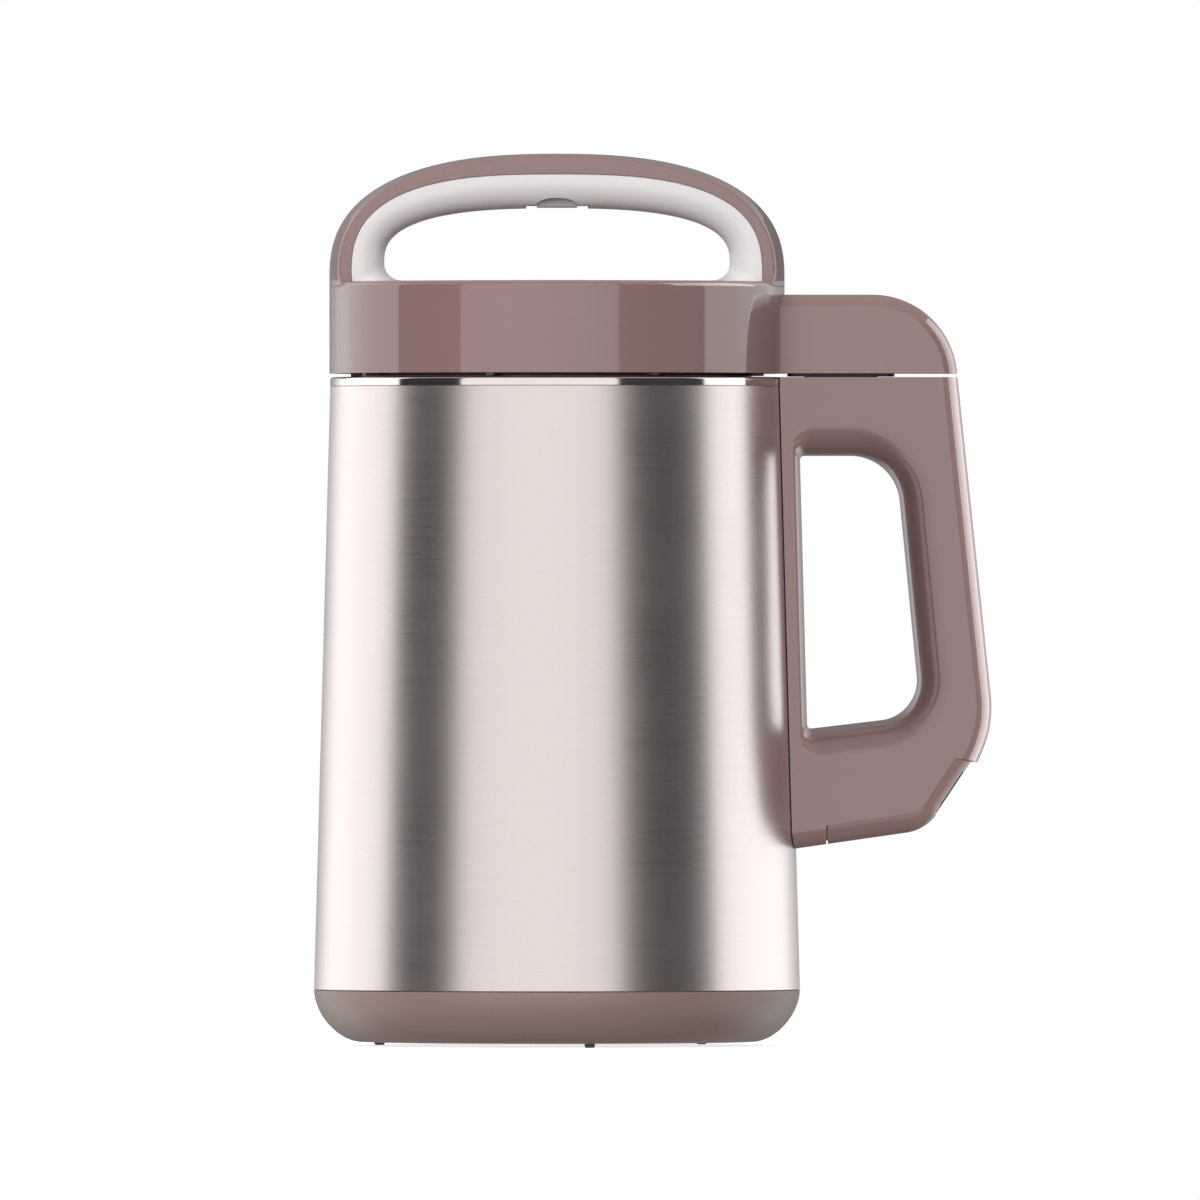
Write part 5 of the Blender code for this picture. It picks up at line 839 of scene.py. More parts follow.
def make_shell():
    """Tapered steel shell with broken edges."""
    foot, top = BASE_TOP + GAP / 2, RIM_UNDERSIDE - GAP / 6
    edge = 0.0003
    low, high = shell_radius(foot), shell_radius(top)
    section = [(low - edge, foot), (low, foot + edge), (high, top - edge), (high - edge, top)]
    section += [(high - SHELL_WALL, top), (low - SHELL_WALL, foot)]
    settle("outer_shell_skin", turned(section), STEEL, "jug", "outer_shell")


def cup_side(growth):
    """The cup's lower corner, from side to floor, moved out by growth."""
    centre = (CUP_FLOOR_RADIUS - CUP_CORNER_RADIUS, CUP_FLOOR + CUP_CORNER_RADIUS)
    return arc(centre, CUP_CORNER_RADIUS + growth, 0, -pi / 2)


def make_cup():
    """Drawn steel cup with a rolled rim, and posts under its floor."""
    mouth = 0.0012
    bead = (RIM_TOP - RIM_UNDERSIDE) / 3
    lip = arc((CUP_MOUTH_RADIUS + mouth, RIM_TOP - mouth), mouth, pi, pi / 2, 6)
    under = arc((CUP_MOUTH_RADIUS + mouth + CUP_WALL, RIM_TOP - CUP_WALL - mouth), mouth, pi / 2, pi, 6)
    rolled = arc((SHELL_TOP_RADIUS - bead, RIM_TOP - bead), bead, pi / 2, 0)
    hem = SHELL_TOP_RADIUS - CUP_WALL
    section = [(0, CUP_FLOOR), *reversed(cup_side(0)), *lip, *rolled]
    section += [(SHELL_TOP_RADIUS, RIM_UNDERSIDE), (hem, RIM_UNDERSIDE), (hem, RIM_TOP - CUP_WALL)]
    section += [*under, *cup_side(CUP_WALL), (0, CUP_FLOOR - CUP_WALL)]
    post = rod(POST_RING_RADIUS, BOSS_TOP + GAP, CUP_FLOOR - CUP_WALL / 2, POST_RADIUS)
    bore_top = FOOT_HEIGHT + RECESS_DEPTH + SCREW_LENGTH
    bore = rod(POST_RING_RADIUS, BOSS_TOP - OVERRUN, bore_top, SCREW_SHANK_RADIUS + GAP, AROUND_BORE)
    posts, bores = (ringed(shape, 3, FIRST_POST_ANGLE) for shape in (post, bore))
    settle("inner_cup_drawn", worked(turned(section), join=[posts], cut=[bores]), POLISHED, "jug", "inner_cup")


# Handle


def handle_corners():
    """The handle's outline, clockwise from its root at the top."""
    root = SHELL_TOP_RADIUS - ROOT_INSET
    elbow_reach = HANDLE_REACH + SIDE_LEAN * (RIM_TOP - ELBOW_LEVEL)
    end_reach = elbow_reach - ELBOW_TUCK
    face_top = end_reach - STEP_WIDTH
    face_reach = face_top - INLET_FACE_TUCK
    heel_reach = face_reach - HEEL_TUCK
    wall_reach = shell_radius(HANDLE_BOTTOM)
    slope = HEEL_RISE / (heel_reach - wall_reach)
    return [
        Corner(root, RIM_TOP, 0, 0),
        Corner(HANDLE_REACH, RIM_TOP, 0, SPINE_EDGE),
        Corner(elbow_reach, ELBOW_LEVEL, ELBOW_FILLET, SPINE_EDGE),
        Corner(end_reach, SPINE_END_LEVEL, 0, STEP_EDGE),
        Corner(face_top, SPINE_END_LEVEL, 0, SPINE_EDGE),
        Corner(face_reach, FACE_END_LEVEL, 0, SPINE_EDGE),
        Corner(heel_reach, HEEL_LEVEL, HEEL_FILLET, BOTTOM_EDGE),
        Corner(root, HANDLE_BOTTOM - slope * (wall_reach - root), 0, 0),
    ]


def opening_corners():
    """The grip opening, clockwise from its top corner at the column."""
    places = []
    for level, grip in ((OPENING_TOP, GRIP_TOP_WIDTH), (OPENING_BOTTOM, GRIP_BOTTOM_WIDTH)):
        right = HANDLE_REACH + SIDE_LEAN * (RIM_TOP - level) - grip
        places += [shell_radius(level) + COLUMN_WALL, right]
    left_top, right_top, left_bottom, right_bottom = places
    return [
        Corner(left_top, OPENING_TOP, OPENING_CORNER_FILLET, OPENING_EDGE),
        Corner(right_top, OPENING_TOP, OPENING_TOP_FILLET, OPENING_EDGE),
        Corner(right_bottom, OPENING_BOTTOM + OPENING_SLOPE_RISE, OPENING_BOTTOM_FILLET, OPENING_EDGE),
        Corner(left_bottom, OPENING_BOTTOM, OPENING_CORNER_FILLET, COLUMN_EDGE),
    ]


def handle_blank():
    """The whole handle with its rounded long edges."""
    return slab(edged_levels(handle_corners(), HANDLE_HALF_DEPTH, LONG_EDGE_DEPTH, rounding(CREASE_ANGLE)))


def spine_space(gap, half_depth):
    """The space outside the handle's crease, which the spine cover fills."""
    corners = [corner._replace(edge=max(corner.edge - gap, 0)) for corner in handle_corners()]
    inner = filleted(inset_corners(corners, 1))
    crease = inner[1:-1]
    slit = SLIT_REACH + (SLIT_WIDTH if gap > 0 else gap)
    run = [(crease[0][0] - SIDE_LEAN * OVERRUN, RIM_TOP + OVERRUN), *crease]
    last, tail = inner[-2:]
    slit_top = last[1] + (tail[1] - last[1]) * (last[0] - slit) / (last[0] - tail[0])
    low = tail[1] - HEEL_FILLET
    far = 0.18
    run += [(slit, slit_top), (slit, low), (far, low), (far, RIM_TOP + OVERRUN)]
    return prism(run, half_depth)


def spine_tongue():
    """A tongue inside the spine cover, behind its seam."""
    core = prism(filleted(inset_corners(handle_corners(), TONGUE_INSET_SHARE)), TONGUE_HALF_DEPTH)
    return worked(core, trim=[spine_space(-TONGUE_REACH, TONGUE_HALF_DEPTH - GAP)])


def shell_space():
    """What the shell and the rim fill, and a gap round them."""
    low = HANDLE_BOTTOM - ROOT_INSET
    section = [(0, low), (shell_radius(low) + GAP, low), (SHELL_TOP_RADIUS + GAP, RIM_UNDERSIDE)]
    section += [(SHELL_TOP_RADIUS + GAP, RIM_TOP + OVERRUN), (0, RIM_TOP + OVERRUN)]
    return turned(section)


def duct_space():
    """The wiring duct: a C round the opening, open towards the spine cover."""
    opening = opening_corners()
    wall = DUCT_WALL
    left = SLIT_REACH + 0.0035
    low = HANDLE_BOTTOM - OVERRUN
    bottom = opening[3].z - wall
    outline = [(COUPLER_REACH, DUCT_TOP), (DUCT_END, DUCT_TOP), (DUCT_END, low), (left, low), (left, bottom)]
    outline += [(opening[2].x, bottom), (opening[2].x + wall, opening[2].z + wall)]
    outline += [(opening[1].x + wall, opening[1].z - OPENING_TOP_FILLET)]
    outline += [(opening[1].x - wall / 2, POCKET_FOOT), (COUPLER_REACH, POCKET_FOOT)]
    return prism(outline, DUCT_HALF_DEPTH)


def inlet_space(growth):
    """A block round the inlet's body, square to the slanted face."""
    top, end = handle_corners()[4:6]
    run = Vector((end.x - top.x, end.z - top.z))
    spot = top.place + run * INLET_SHARE
    height, width = INLET_HALF_HEIGHT + growth, INLET_HALF_WIDTH + growth
    shape = block((-height, -width, -INLET_DEPTH), (height, width, INLET_DEPTH))
    return moved(shape, (spot.x, 0, spot.y), Matrix.Rotation(atan2(-run.y, run.x), 4, "Y"))


def make_handle():
    """Handle frame and the spine cover that closes its wiring duct."""
    flare = edged_levels(opening_corners(), HANDLE_HALF_DEPTH, OPENING_EDGE_DEPTH, rounding(), True, OVERRUN)
    length, depth = POCKET_HALF_LENGTH, POCKET_HALF_DEPTH
    pocket = block((COUPLER_REACH - length, -depth, POCKET_FOOT), (COUPLER_REACH + length, depth, RIM_TOP + OVERRUN))
    cuts = [
        shell_space(), slab(flare), spine_space(0, HANDLE_HALF_DEPTH + OVERRUN),
        spine_space(-TONGUE_REACH - GAP, TONGUE_HALF_DEPTH + GAP), duct_space(), pocket, inlet_space(INLET_ROOM),
    ]
    settle("handle_frame_moulding", worked(handle_blank(), cut=cuts), BROWN, "jug", "handle_frame")
    outside = spine_space(SEAM_GAP, HANDLE_HALF_DEPTH + OVERRUN)
    spine = worked(handle_blank(), trim=[outside], join=[spine_tongue()], cut=[inlet_space(GAP)])
    settle("handle_spine_moulding", spine, BROWN, "jug", "handle_spine_cover")


# Head


def arm_corners(inset):
    """The arm's outline, clockwise from its root in the lid, moved in by inset."""
    foot = -OVERRUN
    reach = HANDLE_REACH + SIDE_LEAN * (RIM_TOP - LID_UNDERSIDE - foot)
    top_reach = reach - SIDE_LEAN * (ARM_HEIGHT - foot)
    root = LID_RADIUS - ARM_ROOT_INSET
    edge = inset or ARM_EDGE
    corners = [
        Corner(root, ARM_HEIGHT, 0, edge),
        Corner(top_reach, ARM_HEIGHT, ARM_FILLET, edge),
        Corner(reach, foot, 0, 0),
        Corner(root, foot, 0, 0),
    ]
    return inset_corners(corners, 1) if inset else corners


def lid_blank(growth):
    """The lid's outside, with its rounded top edge, grown by a gap."""
    foot = -OVERRUN / 2
    centre = (LID_RADIUS - LID_EDGE, LID_HEIGHT - LID_EDGE)
    edge = arc(centre, LID_EDGE + growth, 0, pi / 2, EDGE_STEPS)
    return turned([(0, foot), (LID_RADIUS + growth, foot), *edge, (0, LID_HEIGHT + growth)])


def make_head_shell():
    """Lid and arm in one hollow moulding, with the panel's recess."""
    lid = lid_blank(0)
    arm = slab(edged_levels(arm_corners(0), HANDLE_HALF_DEPTH, ARM_EDGE, rounding(CREASE_ANGLE)))
    inner = LID_RADIUS - LID_WALL
    roof = LID_HEIGHT - LID_ROOF
    hollow = turned([(0, -OVERRUN), (inner, -OVERRUN), (inner, roof), (0, roof)])
    arm_hollow = prism(filleted(arm_corners(ARM_WALL)), HANDLE_HALF_DEPTH - ARM_WALL)
    recess = plate(panel_outline(GAP), LID_HEIGHT - PANEL_THICKNESS - GAP, LID_HEIGHT + OVERRUN)
    stem = rod(-BUTTON_PITCH, roof - OVERRUN, LID_HEIGHT, STEM_RADIUS + GAP, AROUND_BORE)
    under = block((-HANDLE_REACH, -HANDLE_REACH, -OVERRUN * 2), (HANDLE_REACH + 0.01, HANDLE_REACH, 0))
    mesh = worked(lid, join=[arm], cut=[hollow, arm_hollow, recess, in_row(stem, BUTTON_PITCH), under])
    settle("head_shell_moulding", mesh, BROWN, "head", "head_shell")


def rounded_outline(length, width, fillet, reach=0.0):
    """A rounded rectangle about a point on the X axis, from its half sizes."""
    corners = [(-length, width), (length, width), (length, -width), (-length, -width)]
    return filleted([Corner(reach + x, y, fillet, 0) for x, y in corners])


def panel_outline(growth):
    """The panel's outline seen from above, moved out by growth."""
    return rounded_outline(PANEL_HALF_LENGTH + growth, PANEL_HALF_WIDTH + growth, PANEL_FILLET + growth)


def bail_ring(outer, inner, edge_out, edge_in, half_depth, dome=False):
    """Section of the bail at one station, from its outer point to its inner point."""
    length = (inner - outer).length
    side = [(edge_out * depth, half_depth - edge_out * inset) for inset, depth in rounding()]
    side += [(length - edge_in * inset, half_depth - edge_in * depth) for inset, depth in rounding()]
    ring = [(back, -depth) for back, depth in side] + side[::-1]
    flat = half_depth - edge_out
    ring += [(0, flat - 2 * flat * step / TURN_STEPS) for step in range(1, TURN_STEPS)]
    points = []
    for back, depth in ring:
        top = dome_point(outer, depth) if dome else outer
        points.append(top.lerp(inner, back / length) + Vector((0, depth, 0)))
    return points


def dome_point(crest, depth):
    """The domed outside at a depth off the bail's crest line."""
    if crest.z <= BAIL_SPRING:
        return Vector((copysign(sqrt(LID_RADIUS**2 - depth**2), crest.x), 0, crest.z))
    x = crest.x * sqrt(1 - (depth / LID_RADIUS) ** 2)
    radius = min(hypot(x, depth) / LID_RADIUS, 1)
    rise = (BAIL_CROWN - BAIL_SPRING) * (1 - radius**BAIL_POWER) ** (1 / BAIL_POWER)
    return Vector((x, 0, BAIL_SPRING + rise))


def foot_depth(level):
    """Half depth of the bail, which flares into the lid at its feet."""
    left = FOOT_FLARE - max(level - LID_HEIGHT, 0)
    if left <= 0:
        return BAIL_HALF_DEPTH
    return BAIL_HALF_DEPTH + FOOT_FLARE - sqrt(FOOT_FLARE**2 - left**2)


def stations(outer, inner):
    """Pairs of points along the bail, from its right foot to its left foot."""
    pairs = [(Vector((a, 0, b)), Vector((c, 0, d))) for (a, b), (c, d) in zip(outer, inner)]
    flip = Vector((-1, 1, 1))
    return pairs + [(a * flip, b * flip) for a, b in reversed(pairs[:-1])]


def make_bail():
    """The bail's brown outside and silver inside, and the plug under its crown."""
    foot = LID_HEIGHT - LID_EDGE
    rise = BAIL_CROWN - BAIL_SPRING
    run = BAIL_STEPS, FOOT_CROWDING, BAIL_SPRING
    outer = [(LID_RADIUS, foot), *quarter_curve(LID_RADIUS, rise, BAIL_POWER, *run)]
    seam = [(SEAM_HALF_WIDTH, foot), *quarter_curve(SEAM_HALF_WIDTH, rise - SEAM_DROP, SEAM_POWER, *run)]
    rings = [bail_ring(a, b, BAIL_EDGE, FINE_EDGE, foot_depth(a.z), True) for a, b in stations(outer, seam)]
    cover = worked(skinned(rings), cut=[lid_blank(GAP / 10)])
    settle("bail_cover_moulding", cover, BROWN, "head", "bail_cover")

    foot = LID_HEIGHT + GAP / 10
    width = SEAM_HALF_WIDTH - GAP / 10
    open_base = foot + LINER_FOOT_LIP + OPEN_FOOT_RADIUS
    crown = BAIL_CROWN - OPEN_DROP
    toe = arc((OPEN_HALF_WIDTH - OPEN_FOOT_RADIUS, open_base), OPEN_FOOT_RADIUS, -pi / 2, 0)
    run = BAIL_STEPS, 1.0
    outer = [(width, foot + (BAIL_SPRING - foot) * step / (len(toe) + 1)) for step in range(len(toe))]
    outer += quarter_curve(width, rise - SEAM_DROP - GAP / 10, SEAM_POWER, *run, BAIL_SPRING)
    inner = quarter_curve(OPEN_HALF_WIDTH, crown - open_base, OPEN_POWER, *run, open_base)
    rings = []
    for out, into in stations(outer, [(toe[0][0], foot), *toe[:-1], *inner]):
        edge = min(LINER_EDGE, (out - into).length * 0.9)
        rings.append(bail_ring(out, into, FINE_EDGE, edge, BAIL_HALF_DEPTH - GAP))
    side, depth = CAP_POCKET_HALF_WIDTH, BAIL_HALF_DEPTH
    pocket = block((-side, -depth, crown - OVERRUN), (side, depth, crown + CAP_POCKET_RISE))
    notch = notch_shape(NOTCH_HALF_WIDTH, NOTCH_RISE, depth + OVERRUN, crown)
    mesh = worked(skinned(rings), cut=[pocket, notch])
    settle("bail_liner_moulding", mesh, SATIN, "head", "bail_liner")
    insert = notch_shape(NOTCH_HALF_WIDTH - GAP, NOTCH_RISE - GAP, CAP_HALF_DEPTH, crown + CAP_LIFT)
    settle("bail_plug_cap", insert, GREY, "head", "bail_plug", bevel=0.0008)


def notch_shape(half_width, rise, half_depth, level):
    """A flat-bottomed half round through the bail's crown, front to back."""
    side = quarter_curve(half_width, rise, 2.2, TURN_STEPS, level=level)
    outline = side + [(-x, z) for x, z in reversed(side[:-1])]
    outline += [(-half_width, level - 0.0002), (half_width, level - 0.0002)]
    return prism(outline, half_depth)


def make_panel():
    """Control panel with its button holes, and the three button caps."""
    top = LID_HEIGHT
    sheet = plate(panel_outline(0), top - PANEL_THICKNESS, top)
    hole = rod(-BUTTON_PITCH, top - OVERRUN * 2, top + OVERRUN, BUTTON_RADIUS + GAP)
    mesh = worked(sheet, cut=[in_row(hole, BUTTON_PITCH)])
    settle("control_panel_plate", mesh, DARK, "head", "control_panel", bevel=0.0002)
    cap_top = top + BUTTON_PROUD
    foot = cap_top - BUTTON_THICKNESS
    section = [(0, STEM_FOOT), (STEM_RADIUS, STEM_FOOT), (STEM_RADIUS, foot), (BUTTON_RADIUS, foot)]
    section += [(BUTTON_RADIUS, cap_top - FINE_EDGE)]
    section += arc((BUTTON_RADIUS - FINE_EDGE, cap_top - FINE_EDGE), FINE_EDGE, 0, pi / 2, 4)
    section += [(BUTTON_RADIUS * 0.7, cap_top), (BUTTON_RADIUS * 0.4, cap_top - 0.0002), (0, cap_top - 0.00025)]
    for index, name in enumerate(("grain_button", "bean_button", "start_button")):
        cap = moved(turned(section, AROUND_SMALL), (BUTTON_PITCH * (index - 1), 0, 0))
        settle(f"{name}_cap", cap, CAP, name, name)


# Coupler between handle and head, heights above the lid's underside


def coupler_plate(length, depth, fillet, low, high):
    """A plate with rounded corners in the coupler, from its half sizes."""
    return plate(rounded_outline(length, depth, fillet, COUPLER_REACH), low, high)


def make_coupler():
    """The handle's socket with its collar, the head's plug, and their pins."""
    rim = RIM_TOP - LID_UNDERSIDE
    foot, collar_foot = rim - SOCKET_DEPTH, rim + GAP
    top = collar_foot + COLLAR_HEIGHT
    length, depth, wall = SOCKET_HALF_LENGTH, SOCKET_HALF_DEPTH, SOCKET_WALL
    collar = coupler_plate(COLLAR_HALF_LENGTH, COLLAR_HALF_DEPTH, COLLAR_FILLET, collar_foot, top)
    core = coupler_plate(length, depth, 0.002, foot, top - COLLAR_HEIGHT / 2)
    recess = coupler_plate(length - wall, depth - wall, 0.0016, foot + wall, top + OVERRUN)
    first = COUPLER_REACH - PIN_PITCH
    bore = rod(first, foot - OVERRUN, HEAD_BASE_TOP * 4, PIN_RADIUS + GAP, AROUND_BORE)
    socket = worked(collar, join=[core], cut=[recess, in_row(bore, PIN_PITCH)])
    lift = (0, 0, LID_UNDERSIDE)
    settle("coupler_socket_moulding", moved(socket, lift), DARK, "jug", "coupler_socket", bevel=0.0002)
    length, depth = length - wall - PLUG_ROOM, depth - wall - PLUG_ROOM
    low = HEAD_BASE_TOP + GAP
    wide = PLUG_FLANGE
    flange = coupler_plate(length + wide, depth + wide, COLLAR_FILLET, low, low + wide)
    nose = coupler_plate(length, depth, 0.0014, -PLUG_NOSE_DEPTH, low + 0.0018)
    plug = worked(flange, join=[nose], cut=[in_row(bore, PIN_PITCH)])
    settle("coupler_plug_moulding", plug, DARK, "head", "coupler_plug", bevel=0.0003)
    tip = arc((0, PIN_RADIUS - PIN_DROP), PIN_RADIUS, -pi / 2, 0, EDGE_STEPS)
    pin = moved(turned([*tip, (PIN_RADIUS, low + 0.0065), (0, low + 0.0065)], AROUND_PIN), (first, 0, 0))
    settle("coupler_pins", in_row(pin, PIN_PITCH), BRASS, "head", *three("coupler_pin"))
    top = -PIN_DROP - GAP
    section = [(0, foot - 0.001), (PIN_RADIUS, foot - 0.001), (PIN_RADIUS, top - 0.0004)]
    section += [(PIN_RADIUS * 0.8, top), (PIN_RADIUS * 0.5, top - 0.0004), (0, top - 0.0006)]
    pin = moved(turned(section, AROUND_PIN), (first, 0, LID_UNDERSIDE))
    settle("socket_contacts", in_row(pin, PIN_PITCH), BRASS, "jug", *three("socket_contact"))


# What hangs under the head, heights above the lid's underside


def make_head_base():
    """Underside of the head: a plate with its spigot, rim pads, arm floor and holes."""
    outer = LID_RADIUS - LID_WALL - GAP
    bore = HOUSING_RADIUS + GAP
    inner = SPIGOT_RADIUS - SPIGOT_WALL
    edge = SPIGOT_WALL / 2
    end = arc((inner + edge, edge - SPIGOT_DEPTH), edge, -pi, 0, EDGE_STEPS)
    section = [(bore, 0), (inner - 0.001, 0), (inner, -0.001), *end, (SPIGOT_RADIUS, -0.001)]
    section += [(SPIGOT_RADIUS + 0.001, 0), (outer, 0), (outer, HEAD_BASE_TOP), (bore, HEAD_BASE_TOP)]
    reach = arm_corners(ARM_WALL)[2].x - 2 * GAP - SIDE_LEAN * (HEAD_BASE_TOP + OVERRUN)
    depth = HANDLE_HALF_DEPTH - ARM_WALL - GAP
    floor = block((SPIGOT_RADIUS + OVERRUN, -depth, 0), (reach, depth, HEAD_BASE_TOP))
    low, half = GAP + RIM_TOP - LID_UNDERSIDE, PAD_HALF_WIDTH
    pad = block((PAD_START, -half, low), (PAD_END, half, HEAD_BASE_TOP / 2), 0.0003, 2)
    fit = GAP - SOCKET_WALL - PLUG_ROOM
    cut = -OVERRUN, HEAD_BASE_TOP + OVERRUN
    holes = [coupler_plate(SOCKET_HALF_LENGTH + fit, SOCKET_HALF_DEPTH + fit, 0.0014, *cut)]
    holes += [rod(x, *cut, radius + GAP, AROUND_PIN, y) for (x, y), radius in probe_places()]
    mesh = worked(turned(section), join=[floor, ringed(pad, 8, FIRST_PAD_ANGLE)], cut=holes)
    settle("head_base_moulding", mesh, BROWN_BASE, "head", "head_base")


def probe_places():
    """Places and radii of the overflow and temperature probes."""
    ring = (HOUSING_RADIUS + HOUSING_FLANGE_WIDTH + SPIGOT_RADIUS - SPIGOT_WALL) / 2
    x, y = ring * cos(PROBE_ANGLE), ring * sin(PROBE_ANGLE)
    return ((x, y), OVERFLOW_RADIUS), ((x, -y), TEMPERATURE_RADIUS)


def make_probes():
    """Overflow and temperature probes with rounded tips."""
    foot = HEAD_BASE_TOP + GAP
    names = ("overflow_probe", "temperature_probe")
    for name, length, ((x, y), radius) in zip(names, (OVERFLOW_LENGTH, HOUSING_DEPTH), probe_places()):
        tip = arc((0, radius - length), radius, -pi / 2, 0, EDGE_STEPS)
        neck = radius * 0.86
        section = [*tip, (radius, -0.009), (neck, -0.0084), (neck, -0.0072), (radius, -0.0066), (radius, foot)]
        top = foot + PROBE_HEAD_HEIGHT
        section += [(PROBE_HEAD_RADIUS, foot), (PROBE_HEAD_RADIUS, top), (0, top)]
        mesh = moved(turned(section, AROUND_SMALL), (x, y, 0))
        settle(f"{name}_rod", mesh, POLISHED, "head", name)


def make_housing():
    """Steel sleeve of the motor, with its flange, rounded foot and neck."""
    flange_foot = HEAD_BASE_TOP + SEAL_HEIGHT + 2 * GAP
    flange = HOUSING_RADIUS + HOUSING_FLANGE_WIDTH
    inner = HOUSING_RADIUS - HOUSING_WALL
    centre = (HOUSING_RADIUS - HOUSING_FILLET, HOUSING_FILLET - HOUSING_DEPTH)
    outside = arc(centre, HOUSING_FILLET, 0, -pi / 2)
    inside = arc(centre, HOUSING_FILLET - HOUSING_WALL, -pi / 2, 0)
    neck_foot = -HOUSING_DEPTH - NECK_HEIGHT
    neck_inner = NECK_RADIUS - HOUSING_WALL
    section = [(inner, flange_foot + HOUSING_WALL), (flange, flange_foot + HOUSING_WALL), (flange, flange_foot)]
    section += [(HOUSING_RADIUS, flange_foot), *outside, (NECK_RADIUS, -HOUSING_DEPTH), (NECK_RADIUS, neck_foot)]
    section += [(neck_inner, neck_foot), (neck_inner, HOUSING_WALL - HOUSING_DEPTH), *inside]
    settle("motor_housing_sleeve", turned(section), POLISHED, "head", "motor_housing")


def make_guard():
    """Bell round the blade with a rolled foot and round-ended slots."""
    collar = NECK_RADIUS + GAP
    shoulder = -HOUSING_DEPTH - NECK_HEIGHT
    top = shoulder + GUARD_COLLAR_HEIGHT
    foot = -HOUSING_DEPTH - GUARD_DEPTH
    turn = GUARD_RADIUS - GUARD_SHOULDER_RADIUS
    centre = (GUARD_SHOULDER_RADIUS, shoulder - turn)
    wall, wide = GUARD_WALL, GUARD_SLOT_HALF_WIDTH
    roll = arc((GUARD_RADIUS - wall / 2, foot + wall / 2), wall / 2, -pi, 0, EDGE_STEPS)
    section = [(collar, top), (collar, shoulder - wall), *arc(centre, turn - wall, pi / 2, 0), *roll]
    section += [*arc(centre, turn, 0, pi / 2), (collar + wall, shoulder), (collar + wall, top)]
    low, high = foot + GUARD_SLOT_LIFT, shoulder - turn - GUARD_SLOT_HEADROOM
    half_height = (high - low) / 2
    outline = [(x, z + low + half_height) for x, z in rounded_outline(wide, half_height, wide * 0.98)]
    slot = slab([(GUARD_SHOULDER_RADIUS, outline), (GUARD_RADIUS + OVERRUN, outline)])
    mesh = worked(turned(section), cut=[ringed(slot, 8, tau / 16)])
    settle("grinder_guard_bell", mesh, POLISHED, "head", "grinder_guard")


def make_blade():
    """Cross blade with ground edges, two arms bent up and two bent down."""
    level = -HOUSING_DEPTH - NECK_HEIGHT - BLADE_DROP
    half = BLADE_THICKNESS / 2
    bore, rim, low, high = BLADE_BORE_RADIUS, BLADE_HUB_RADIUS, level - half, level + half
    hub = turned([(bore, low), (rim, low), (rim, high), (bore, high)])
    arms = []
    for arm in range(4):
        bend = BLADE_BEND if arm % 2 else -BLADE_BEND
        sections = []
        for reach, width, lift in BLADE_STATIONS:
            rise = bend * lift
            profile = [(-1, -0.15), (-0.55, -1), (0.55, -1), (1, -0.15), (1, 0.15), (0.55, 1), (-0.55, 1), (-1, 0.15)]
            sections.append([(reach, across * width, level + rise + up * half) for across, up in profile])
        angle = tau * (arm + 1 / 4) / 4
        arms.append(moved(skinned(sections), turn=Matrix.Rotation(angle, 4, "Z")))
    settle("cross_blade", worked(hub, join=arms), GROUND, "rotor", "blade", slot="polished_steel")


# Kept CAD nodes with fuller finishes


def dress_kept_nodes():
    """Give the kept CAD nodes their finishes."""
    finishes = {
        DULL: "heater_tube handle_backing_plate handle_screw_upper handle_screw_lower upper_bearing lower_bearing"
              " motor_shaft blade_nut",
        ALUMINIUM: "heater_plate motor_bracket_upper motor_bracket_lower",
        BRASS: "inlet_pin_live inlet_pin_earth inlet_pin_neutral",
        COPPER: "motor_stator armature commutator",
        CARBON: "carbon_brush_1 carbon_brush_2",
        BLACK: "thermostat mains_inlet",
        DARK: "cooling_fan",
        RUBBER: "heater_leads handle_wiring shaft_seal",
        SILICONE: "housing_seal",
        BOARD: "control_board",
    }
    for finish, nodes in finishes.items():
        for node in nodes.split():
            for place in frame["nodes"][node].material_slots:
                place.material = finish


# Floor, light and camera


def staged(name, bm, values, *unseen):
    """A glowing part of the stage that some kinds of rays don't meet."""
    material, graph = surface(name, {**values, "Emission Color": grey(1.0)})
    mesh = mesh_of(bm)
    mesh.materials.append(material)
    piece = linked(name, mesh)
    for rays in unseen:
        setattr(piece, f"visible_{rays}", False)
    return graph


def make_floor():
    """Pale floor that fades out towards its rim and is clear from below."""
    bm = bmesh.new()
    bmesh.ops.create_circle(bm, cap_ends=True, segments=96, radius=1.4)
    values = {"Base Color": colour((246, 245, 244)), "Roughness": 0.6, "Emission Strength": 0.7}
    graph = staged("floor", bm, values, "glossy", "diffuse", "shadow")
    place = graph.add("ShaderNodeTexCoord", output="Object")
    reach = graph.add("ShaderNodeVectorMath", place, operation="LENGTH", output="Value")
    below = graph.add("ShaderNodeNewGeometry", output="Backfacing")
    graph.feed("Alpha", (1.5 - reach * 1.4).clamped() * (1.0 - below))


def make_card(name, place, size, glow):
    """A dim upright card behind the object, seen only in reflections."""
    upright = Matrix.LocRotScale(Vector(place), Matrix.Rotation(pi / 2, 3, "X"), Vector((*size, 1)))
    bm = bmesh.new()
    bmesh.ops.create_grid(bm, x_segments=1, y_segments=1, size=0.5, matrix=upright)
    values = {"Base Color": colour((24, 22, 22)), "Roughness": 0.9, "Emission Strength": glow}
    staged(name, bm, values, "camera", "diffuse", "shadow")


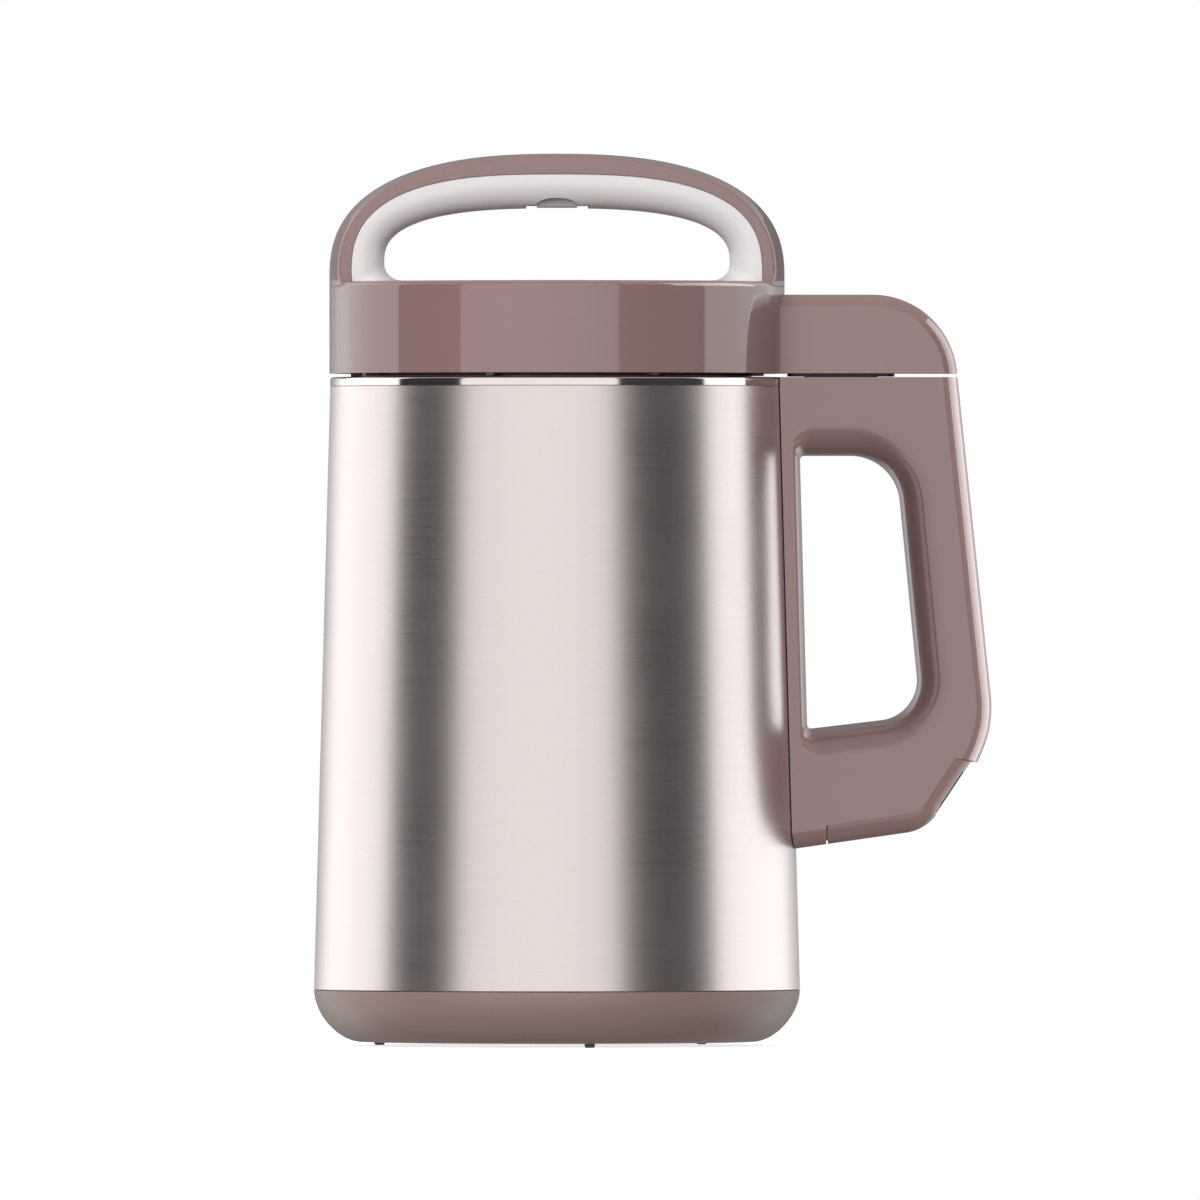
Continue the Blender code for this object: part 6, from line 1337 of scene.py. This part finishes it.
# Studio surround: level of light by angle from the camera's side, towards +X
STRIPS = [
    (-180, 0.25), (-168, 0.35), (-156, 0.6), (-146, 1.1), (-136, 1.5), (-112, 1.3), (-88.6, 1.3), (-88.4, 0.04),
    (-49.7, 0.04), (-49.5, 1.08), (30.9, 1.08), (31.1, 0.05), (80.9, 0.05), (81.1, 1.3), (112, 1.42),
    (140, 1.42), (150, 0.7), (168, 0.35), (180, 0.25),
]
FRONT_TINT = (1.0, 0.985, 0.965)
ABOVE = 0.42
BELOW = 0.1
SOFT = 0.54
LOW_SOFT = 0.2


def make_world():
    """Panels round the sides, a dim ceiling and floor, and plain white for the camera."""
    world = bpy.data.worlds.new("studio")
    bpy.context.scene.world = world
    world.use_nodes = True
    world.node_tree.nodes.clear()
    graph = Graph(world.node_tree)
    x, y, z = graph.parts(graph.add("ShaderNodeTexCoord", output="Generated"))
    side = graph.add("ShaderNodeValToRGB", graph.angle(x, 0.0 - y) / tau + 0.5)
    peak = max(level for angle, level in STRIPS)
    elements = side.socket.node.color_ramp.elements
    elements.remove(elements[-1])
    for index, (angle, level) in enumerate(STRIPS):
        stop = elements.new((angle + 180) / 360) if index else elements[0]
        tint = FRONT_TINT if abs(angle) < 50 else (1.0, 1.0, 1.0)
        stop.color = (*(level / peak * share for share in tint), 1.0)
    over = graph.mixed(((z - 0.45) / 0.25).clamped(), side, grey(ABOVE / peak))
    around = graph.mixed(((0.0 - z - 0.45) / 0.25).clamped(), over, grey(BELOW / peak))
    surround = graph.add("ShaderNodeBackground", around, peak)
    soft = graph.add("ShaderNodeBackground", graph.mixed(z * 0.5 + 0.5, grey(LOW_SOFT), grey(SOFT)))
    plain = graph.add("ShaderNodeBackground", grey(1.0))
    path = graph.add("ShaderNodeLightPath", output="Is Camera Ray")
    diffuse = graph.other(path, "Is Diffuse Ray")
    lit = graph.add("ShaderNodeMixShader", diffuse, surround, soft)
    graph.close("ShaderNodeOutputWorld", graph.add("ShaderNodeMixShader", path, lit, plain))


def make_light(name, place, target, size, power, receivers, glossy=False):
    """A soft light for some pieces, either on their gloss or on their matt surfaces."""
    data = bpy.data.lights.new(name, "AREA")
    data.shape = "RECTANGLE"
    data.size, data.size_y = size
    data.energy = power
    light = linked(name, data)
    light.location = place
    light.rotation_euler = (Vector(target) - Vector(place)).to_track_quat("-Z", "Y").to_euler()
    light.visible_camera = False
    light.visible_glossy = glossy
    light.visible_diffuse = not glossy
    lit = bpy.data.collections.new(f"lit_by_{name}")
    for piece in receivers:
        lit.objects.link(piece)
    light.light_linking.receiver_collection = lit


def make_camera():
    """Level, from the front and far off, as the photograph was taken."""
    data = bpy.data.cameras.new("camera")
    data.sensor_width = 36.0
    data.lens = data.sensor_width * CAMERA_DISTANCE / VIEW_WIDTH
    data.clip_end = 2 * CAMERA_DISTANCE
    camera = linked("camera", data)
    camera.location = (VIEW_CENTRE_X, -CAMERA_DISTANCE, VIEW_CENTRE_Z)
    camera.rotation_euler = (pi / 2, 0, 0)
    bpy.context.scene.camera = camera


def build():
    """Every piece, then the stage."""
    for make in (
        make_shell, make_cup, make_base, make_base_fasteners, make_handle, make_head_shell, make_bail, make_panel,
        make_coupler, make_head_base, make_probes, make_housing, make_guard, make_blade, dress_kept_nodes,
        make_floor, make_world, make_camera,
    ):
        make()
    for name, side, glow in (("left_card", -1, 0.26), ("right_card", 1, 0.15)):
        make_card(name, (AXIS_X + side * 0.14, 0.12, 0.312), (0.104, 0.056), glow)
    pieces = [piece for piece in bpy.data.objects if piece.type == "MESH"]
    handle = [piece for piece in pieces if piece.name.startswith("handle_")]
    others = [piece for piece in pieces if piece not in handle]
    spine, arm = (bpy.data.objects[name] for name in ("handle_spine_moulding", "head_shell_moulding"))
    make_light("overhead", (0.0, -0.3, 2.0), (0, 0, 0.15), (1.6, 1.6), 12.0, others)
    make_light("front", (-0.9, -2.5, 1.0), (0, 0, 0.15), (1.6, 1.6), 58.0, others)
    make_light("floor_bounce", (0.0, -0.2, -1.5), (0, 0, 0.15), (2.0, 2.0), 6.0, others)
    make_light("handle_key", (1.6, -2.4, 0.3), (0.1, 0, 0.15), (1.2, 1.2), 64.0, handle)
    make_light("spine_gloss", (0.75, 0.02, 0.22), (0.15, 0, 0.22), (0.75, 0.9), 7.6, [spine], True)
    make_light("arm_gloss", (3.9, 0.1, 2.4), (0.1, 0, 2.4), (4.4, 4.0), 175.0, [arm], True)
    bpy.context.scene.view_settings.view_transform = "Standard"


build()
